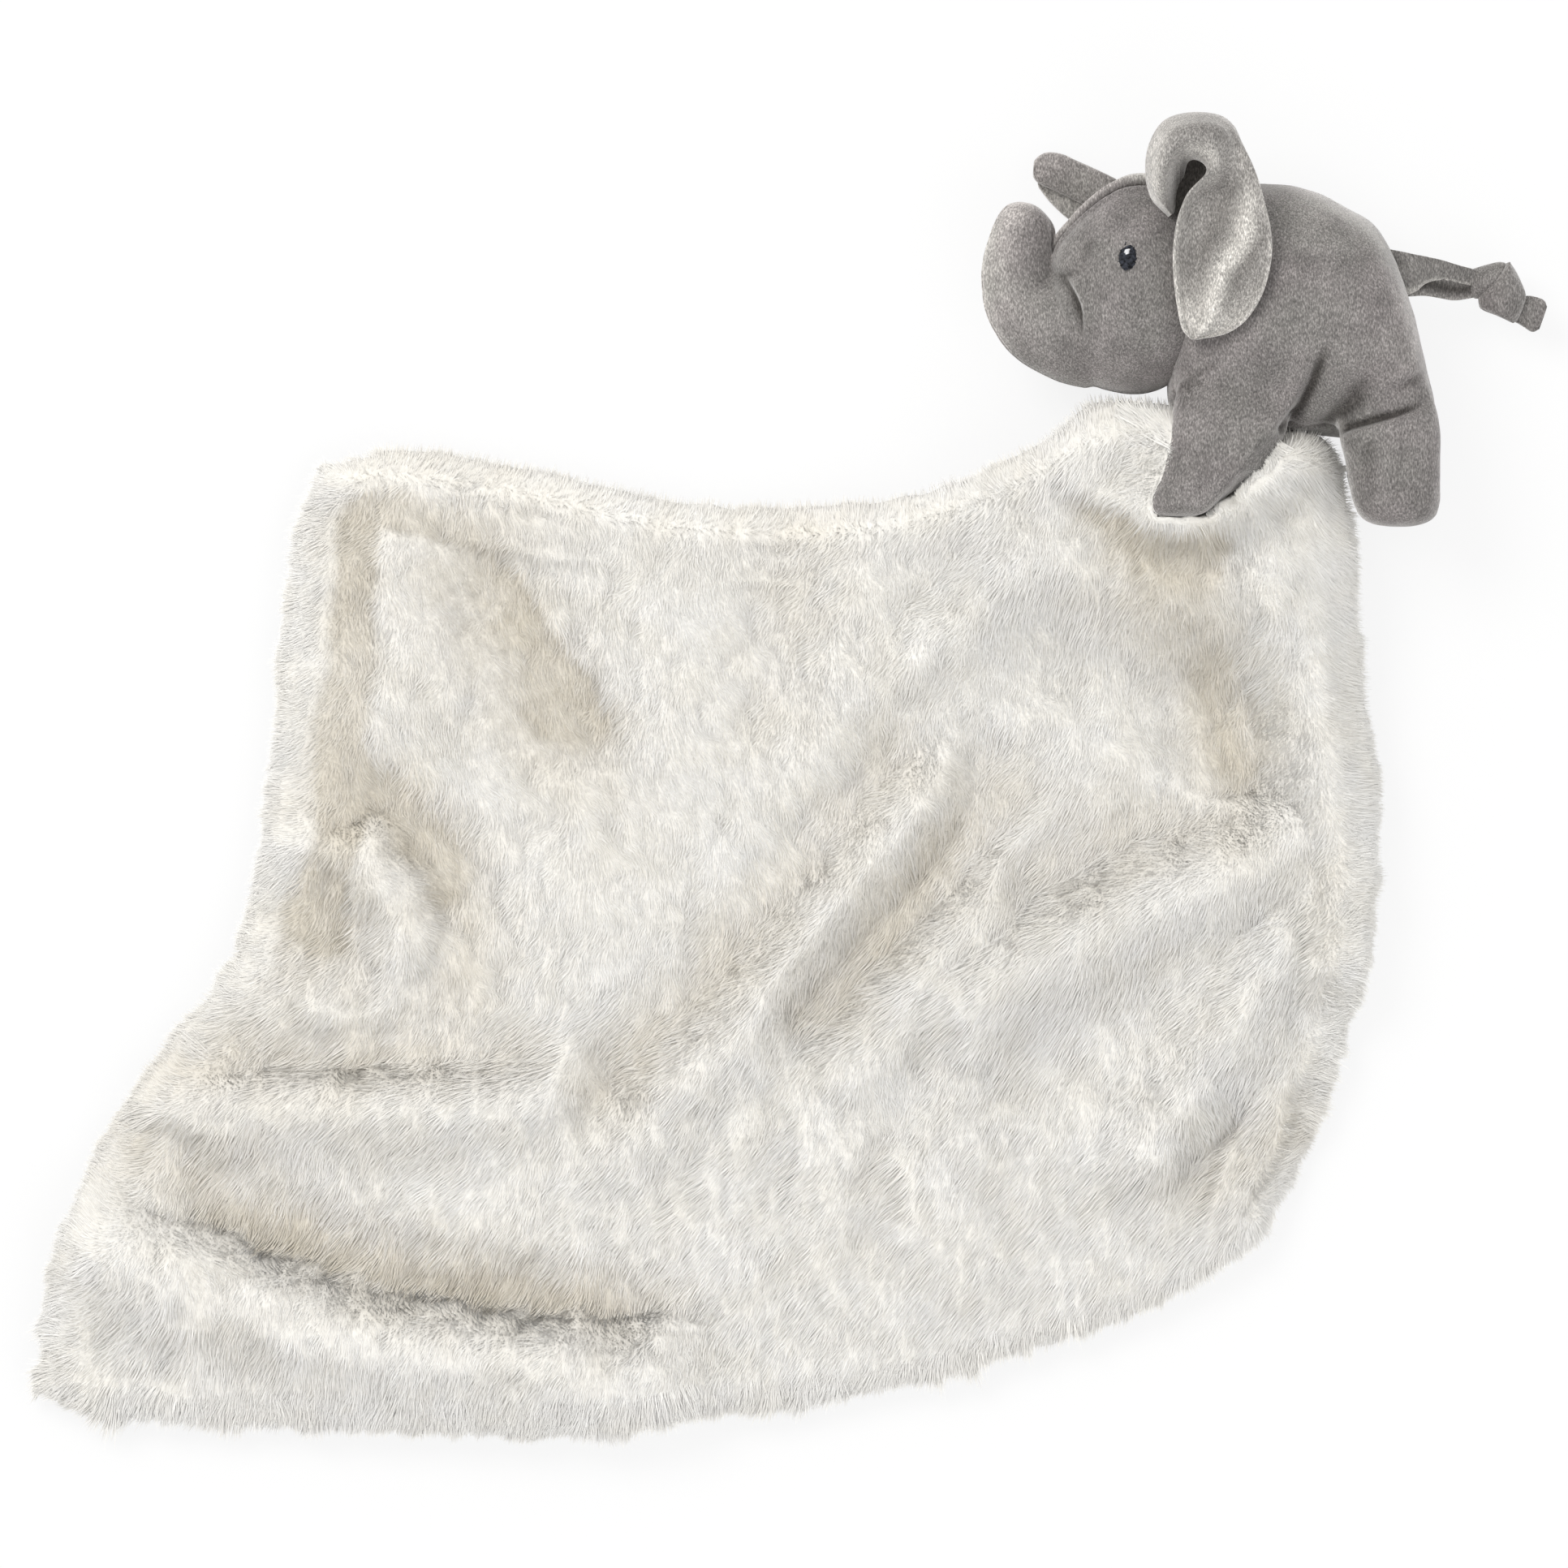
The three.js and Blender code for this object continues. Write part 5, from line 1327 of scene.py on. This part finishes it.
def makeLeftEar():
    thick = [2.6, 3.2, 3.4, 3.4, 3.4, 3.6, 4.2, 4.6, 4.2, 3.6, 2.0]
    rings = padBetween(earInner, earOuter, earHeights, thick, (150, 96), 0.5, earDetail)
    ear = makePiece("left_ear_cloths", *skinOf(rings + headMiddle))
    t, s = padPlaces(150, 96)
    # painted highlights on the lower lobe's ridge, rims and upper parts, and painted shade beside the ridge
    # and by the pocket
    ridge = np.interp(t, [0.08, 0.2, 0.3, 0.42], [0.42, 0.5, 0.72, 0.82])
    light = 0.75 * bump(s - ridge, 0.13) * bump(t - 0.26, 0.17) + 0.45 * bump(t - 0.08, 0.09)
    light += 0.5 * bump(s, 0.05) * bump(t - 0.22, 0.2) + 0.45 * bump(s - 1, 0.04) * fade((0.5 - t) / 0.1)
    light += 0.55 * bump(s - 0.22, 0.13) * bump(t - 0.62, 0.12)
    light += 0.35 * bump(s - 0.85, 0.2) * bump(t - 0.88, 0.12)
    dark = 0.40 * bump(s - ridge + 0.30, 0.15) * bump(t - 0.32, 0.12)
    dark += 0.45 * bump(s - ridge - 0.20, 0.07) * bump(t - 0.25, 0.09)
    dark += 0.85 * bump(s, 0.26) * fade((t - 0.72) / 0.1) + 0.2 * bump(s - 0.7, 0.2) * bump(t - 0.68, 0.1)
    paint(ear, "paintedHighlight", light)
    paint(ear, "crease", dark)
    finish(ear, lining, "left_ear", "ear_lining", "left_ear_lining", "left_ear_back")
    # the cloth seen through the ear's pocket, all in painted shade
    rings = padBetween(
        [(10.0, 37), (10.0, 31), (10.5, 25), (12.0, 19)], [(23.0, 37), (23.5, 31), (21.5, 25), (17.0, 18)],
        [(21.0, 19.0, 21.0), (20.0, 18.0, 20.0), (17.0, 16.0, 18.0)], [2.2] * 3, (60, 40), 0.4)
    pocket = makePiece("left_ear_pocket", *skinOf(rings + headMiddle))
    paint(pocket, "crease", np.ones(rings.shape[:2]))
    finish(pocket, lining, "left_ear", "ear_lining")


farUpper = [
    (-27.6, 34.6), (-27.5, 36.6), (-25.6, 38.4), (-23.0, 39.1), (-19.2, 38.5), (-15.3, 36.7), (-10.3, 34.5),
    (-3.4, 31.1), (2.0, 27.6), (7.0, 22.5), (11.0, 17.0), (13.5, 12.0),
]
farMiddle = [
    (-27.9, 33.2), (-27.6, 31.6), (-25.9, 29.9), (-21.9, 28.1), (-17.3, 25.9), (-13.3, 23.9), (-11.0, 22.4),
    (-8.0, 19.7), (-4.0, 15.6), (1.0, 11.0), (6.0, 6.5), (11.5, 2.5),
]
farHeights = [
    (-22.6, -21.8, -22.6), (-22.6, -21.8, -22.6), (-22.6, -21.8, -22.6), (-23.2, -22.2, -22.6),
    (-24.0, -23.4, -22.4), (-24.6, -24.2, -22.8), (-18.6, -18.4, -18.2),  # the root runs up into the head
]
farInner = [
    (-26.4, 30.6), (-24.6, 30.6), (-20.0, 29.0), (-15.6, 27.0), (-11.0, 24.7), (-7.0, 24.0), (-4.0, 24.0),
]
farLower = [
    (-26.2, 29.2), (-23.9, 26.1), (-21.2, 23.2), (-17.8, 20.2), (-14.2, 18.3), (-9.0, 17.5), (-5.0, 18.0),
]


def farDetail(t, s, fromInner, fromOuter):
    rim = 0.4 * bump(fromInner - 0.9, 0.8) + 0.4 * bump(fromOuter - 0.9, 0.8)
    line = -0.5 * bump(s - 0.52 + 0.1 * t, 0.05) * bump(t - 0.25, 0.18)
    pucker = 0.25 * bump(s - 0.5, 0.2) * bump(t - 0.3, 0.18) * np.sin(2 * np.pi * t * 44)
    return rim + line + pucker


def makeRightEar():
    upper = padBetween(farMiddle, farUpper, farHeights, [4.0, 4.8, 4.8, 4.0], (110, 56), 0.55, farDetail)
    level = [(-26.8, -26.6, -26.4)] * 3
    lower = padBetween(farLower, farInner, level, [2.6, 3.0, 3.0], (70, 48), 0.5, farDetail)
    fold = makePiece("right_ear_fold", *skinOf(upper + headMiddle))
    flap = makePiece("right_ear_flap_cloths", *skinOf(lower + headMiddle))
    # both made lighter by the painted highlight
    paint(fold, "paintedHighlight", np.full(upper.shape[:2], 0.3))
    paint(flap, "paintedHighlight", np.full(lower.shape[:2], 0.3))
    finish(fold, velour, "right_ear", "grey_velour", "right_ear_back")
    finish(flap, lining, "right_ear", "ear_lining", "right_ear_lining")


makeLeftEar()
makeRightEar()
print("ears made")


# Its tail: a folded strip with an open edge, a knot and a cut end

tailTop = [(-1.9, 7.0), (2.5, 6.2), (6.4, 5.5), (13.6, 4.2), (19.1, 2.8), (23.9, 1.7), (28.0, 0.2)]
tailBottom = [(-1.5, -6.2), (3.6, -6.6), (9.1, -6.3), (13.6, -6.8), (18.4, -7.3), (24.3, -6.3), (28.0, -5.4)]
tailArc = [
    (-1.5, -6.0), (3.4, -6.3), (6.7, -5.1), (9.1, -3.1), (11.9, -2.0), (15.0, -1.8), (19.1, -2.3),
    (23.9, -3.1), (28.0, -3.6),
]
droop = [(0.0,), (-0.6,), (-2.4,), (-5.6,), (-9.3,), (-12.6,), (-15.0,)]


def droopHeights(lift, rows=9):
    # the strip falls away from the rump along its length
    return readEven(droop, np.linspace(0, 1, rows)) + lift + np.zeros((1, 3))


def fuzzyEdge(t, s, fromInner, fromOuter):
    return 0.25 * np.sin(2 * np.pi * t * 40) * (bump(fromInner, 0.9) + 0.5 * bump(fromOuter, 0.9))


def makeTail():
    back = padBetween(tailBottom, tailTop, droopHeights(-0.9), [3.2] * 3, (80, 40), 0.45, fuzzyEdge)
    front = padBetween(tailArc, tailTop, droopHeights(1.5), [2.6] * 3, (80, 40), 0.45, fuzzyEdge)
    knot = padBetween(
        [(23.0, -5.6), (25.0, -6.6), (28.5, -5.2), (31.5, -2.0)],
        [(23.2, 1.8), (27.0, 3.0), (31.5, 4.0), (34.4, 3.2)],
        [(-14.5, -13.0, -14.5)] * 3, [6.0, 9.0, 7.5], (48, 40), 0.6)
    wrap = padBetween(
        [(33.6, 3.7), (31.2, 1.1), (28.8, -0.8), (26.3, -4.1), (25.3, -6.2), (25.6, -8.9), (26.6, -9.9)],
        [(34.4, 3.6), (36.0, 1.3), (37.6, -2.0), (38.9, -5.5), (38.4, -8.4), (36.7, -12.6), (35.4, -13.7)],
        [(-13.4, -9.6, -12.6)] * 5, [4.0, 6.4, 7.2, 7.2, 5.0], (64, 44), 0.6, fuzzyEdge)
    tab = padBetween(
        [(31.5, -11.0), (37.4, -14.0), (40.8, -16.1), (42.9, -15.4)],
        [(36.0, -7.2), (39.6, -5.7), (44.0, -6.8), (45.2, -8.8)],
        [(-15.2, -14.6, -15.2)] * 3, [4.6, 4.2, 3.8], (48, 40), 0.35, fuzzyEdge)
    t, s = padPlaces(80, 40)
    # painted shade in the open slot and at the front fold's root; painted highlights along the folds' lower
    # edges
    slot = bump(s - 0.30, 0.17) * fade((t - 0.22) / 0.15) * fade((1.0 - t) / 0.15)
    creases = {"back_fold": 0.95 * slot, "front_fold": 0.35 * bump(s - 0.75, 0.2) * fade((0.3 - t) / 0.2)}
    brushed = {"back_fold": 0.35 * bump(s, 0.10) + 0 * t, "front_fold": 0.85 * bump(s, 0.14) + 0 * t}
    parts = {"back_fold": back, "front_fold": front, "knot": knot, "wrap": wrap, "end": tab}
    for name, rings in parts.items():
        piece = makePiece(f"tail_{name}", *skinOf(rings + tailRoot))
        if name in creases:
            paint(piece, "crease", creases[name])
            paint(piece, "paintedHighlight", brushed[name])
        finish(piece, velour, "tail", "grey_velour", *(["tail"] if name == "back_fold" else []))


makeTail()
print("tail made")


# Floor, lamps and camera

studio = {
    "camera": (-5.2, -4.5, 3000.0),
    "frameWidth": 454.0,
    "key": ((-0.7, 0.75, 1.55), 0.9, 16.6, (1.0, 0.99, 0.97)),  # place, size, power and colour
    "fill": ((0.8, -0.9, 1.5), 1.6, 7.9, (0.98, 0.99, 1.0)),
    "world": 0.73,
    "floor": 0.86,
    "floorGlow": 0.84,
}


def makeFloor():
    # a pale floor that takes the shadow, and is white to the camera and in reflections
    half = 2500.0
    points = np.array([(-half, -half, 0), (half, -half, 0), (half, half, 0), (-half, half, 0)], float)
    floor = makePiece("floor", points, np.array([[0, 1, 2, 3]]), False)
    material, tree, shader, _ = newMaterial("floor")
    setInputs(tree, shader, {"Base Color": (*(studio["floor"],) * 3, 1), "Roughness": 0.9})
    glow = addNode(tree, "Emission", {}).outputs["Emission"]
    rays = addNode(tree, "LightPath", {}).outputs
    seen = rays["Is Camera Ray"]
    for ray in ("Is Glossy Ray", "Is Transmission Ray"):
        seen = addNode(tree, "Math", {0: seen, 1: rays[ray]}, operation="ADD", use_clamp=True).outputs[0]
    share = addNode(tree, "Math", {0: seen, 1: studio["floorGlow"]}, operation="MULTIPLY").outputs[0]
    mix = addNode(tree, "MixShader", {"Fac": share, 1: shader.outputs["BSDF"], 2: glow})
    setInputs(tree, tree.nodes["Material Output"], {"Surface": mix.outputs["Shader"]})
    floor.data.materials.append(material)


def makeLamp(name, place, size, power, colour):
    lamp = bpy.data.lights.new(name, "AREA")
    lamp.shape, lamp.size, lamp.energy, lamp.color = "DISK", size, power, colour
    thing = bpy.data.objects.new(name, lamp)
    thing.location = place
    way = -np.array(place) / np.linalg.norm(place)
    thing.rotation_euler = (math.acos(-way[2]), 0, math.atan2(way[1], way[0]) - math.pi / 2)
    bpy.context.scene.collection.objects.link(thing)


def makeStudio():
    makeFloor()
    makeLamp("key", *studio["key"])
    makeLamp("fill", *studio["fill"])
    scene = bpy.context.scene
    world = scene.world or bpy.data.worlds.new("studio")
    scene.world = world
    world.use_nodes = True
    # white to the camera, and a little less as light
    tree = world.node_tree
    back = tree.nodes.get("Background") or addNode(tree, "Background", {})
    setInputs(tree, back, {"Color": (1, 1, 1, 1), "Strength": studio["world"]})
    white = addNode(tree, "Background", {"Strength": 1.0}).outputs["Background"]
    seen = addNode(tree, "LightPath", {}).outputs["Is Camera Ray"]
    mix = addNode(tree, "MixShader", {"Fac": seen, 1: back.outputs["Background"], 2: white})
    out = tree.nodes.get("World Output") or addNode(tree, "OutputWorld", {})
    setInputs(tree, out, {"Surface": mix.outputs["Shader"]})
    scene.view_settings.view_transform = "Standard"
    camera = bpy.data.cameras.new("camera")
    camera.sensor_fit = "HORIZONTAL"
    x, y, z = studio["camera"]
    camera.angle = 2 * math.atan(studio["frameWidth"] / 2 / z)
    thing = bpy.data.objects.new("camera", camera)
    thing.location = (x * mm, y * mm, z * mm)
    scene.collection.objects.link(thing)
    scene.camera = thing


makeStudio()
print("studio made")
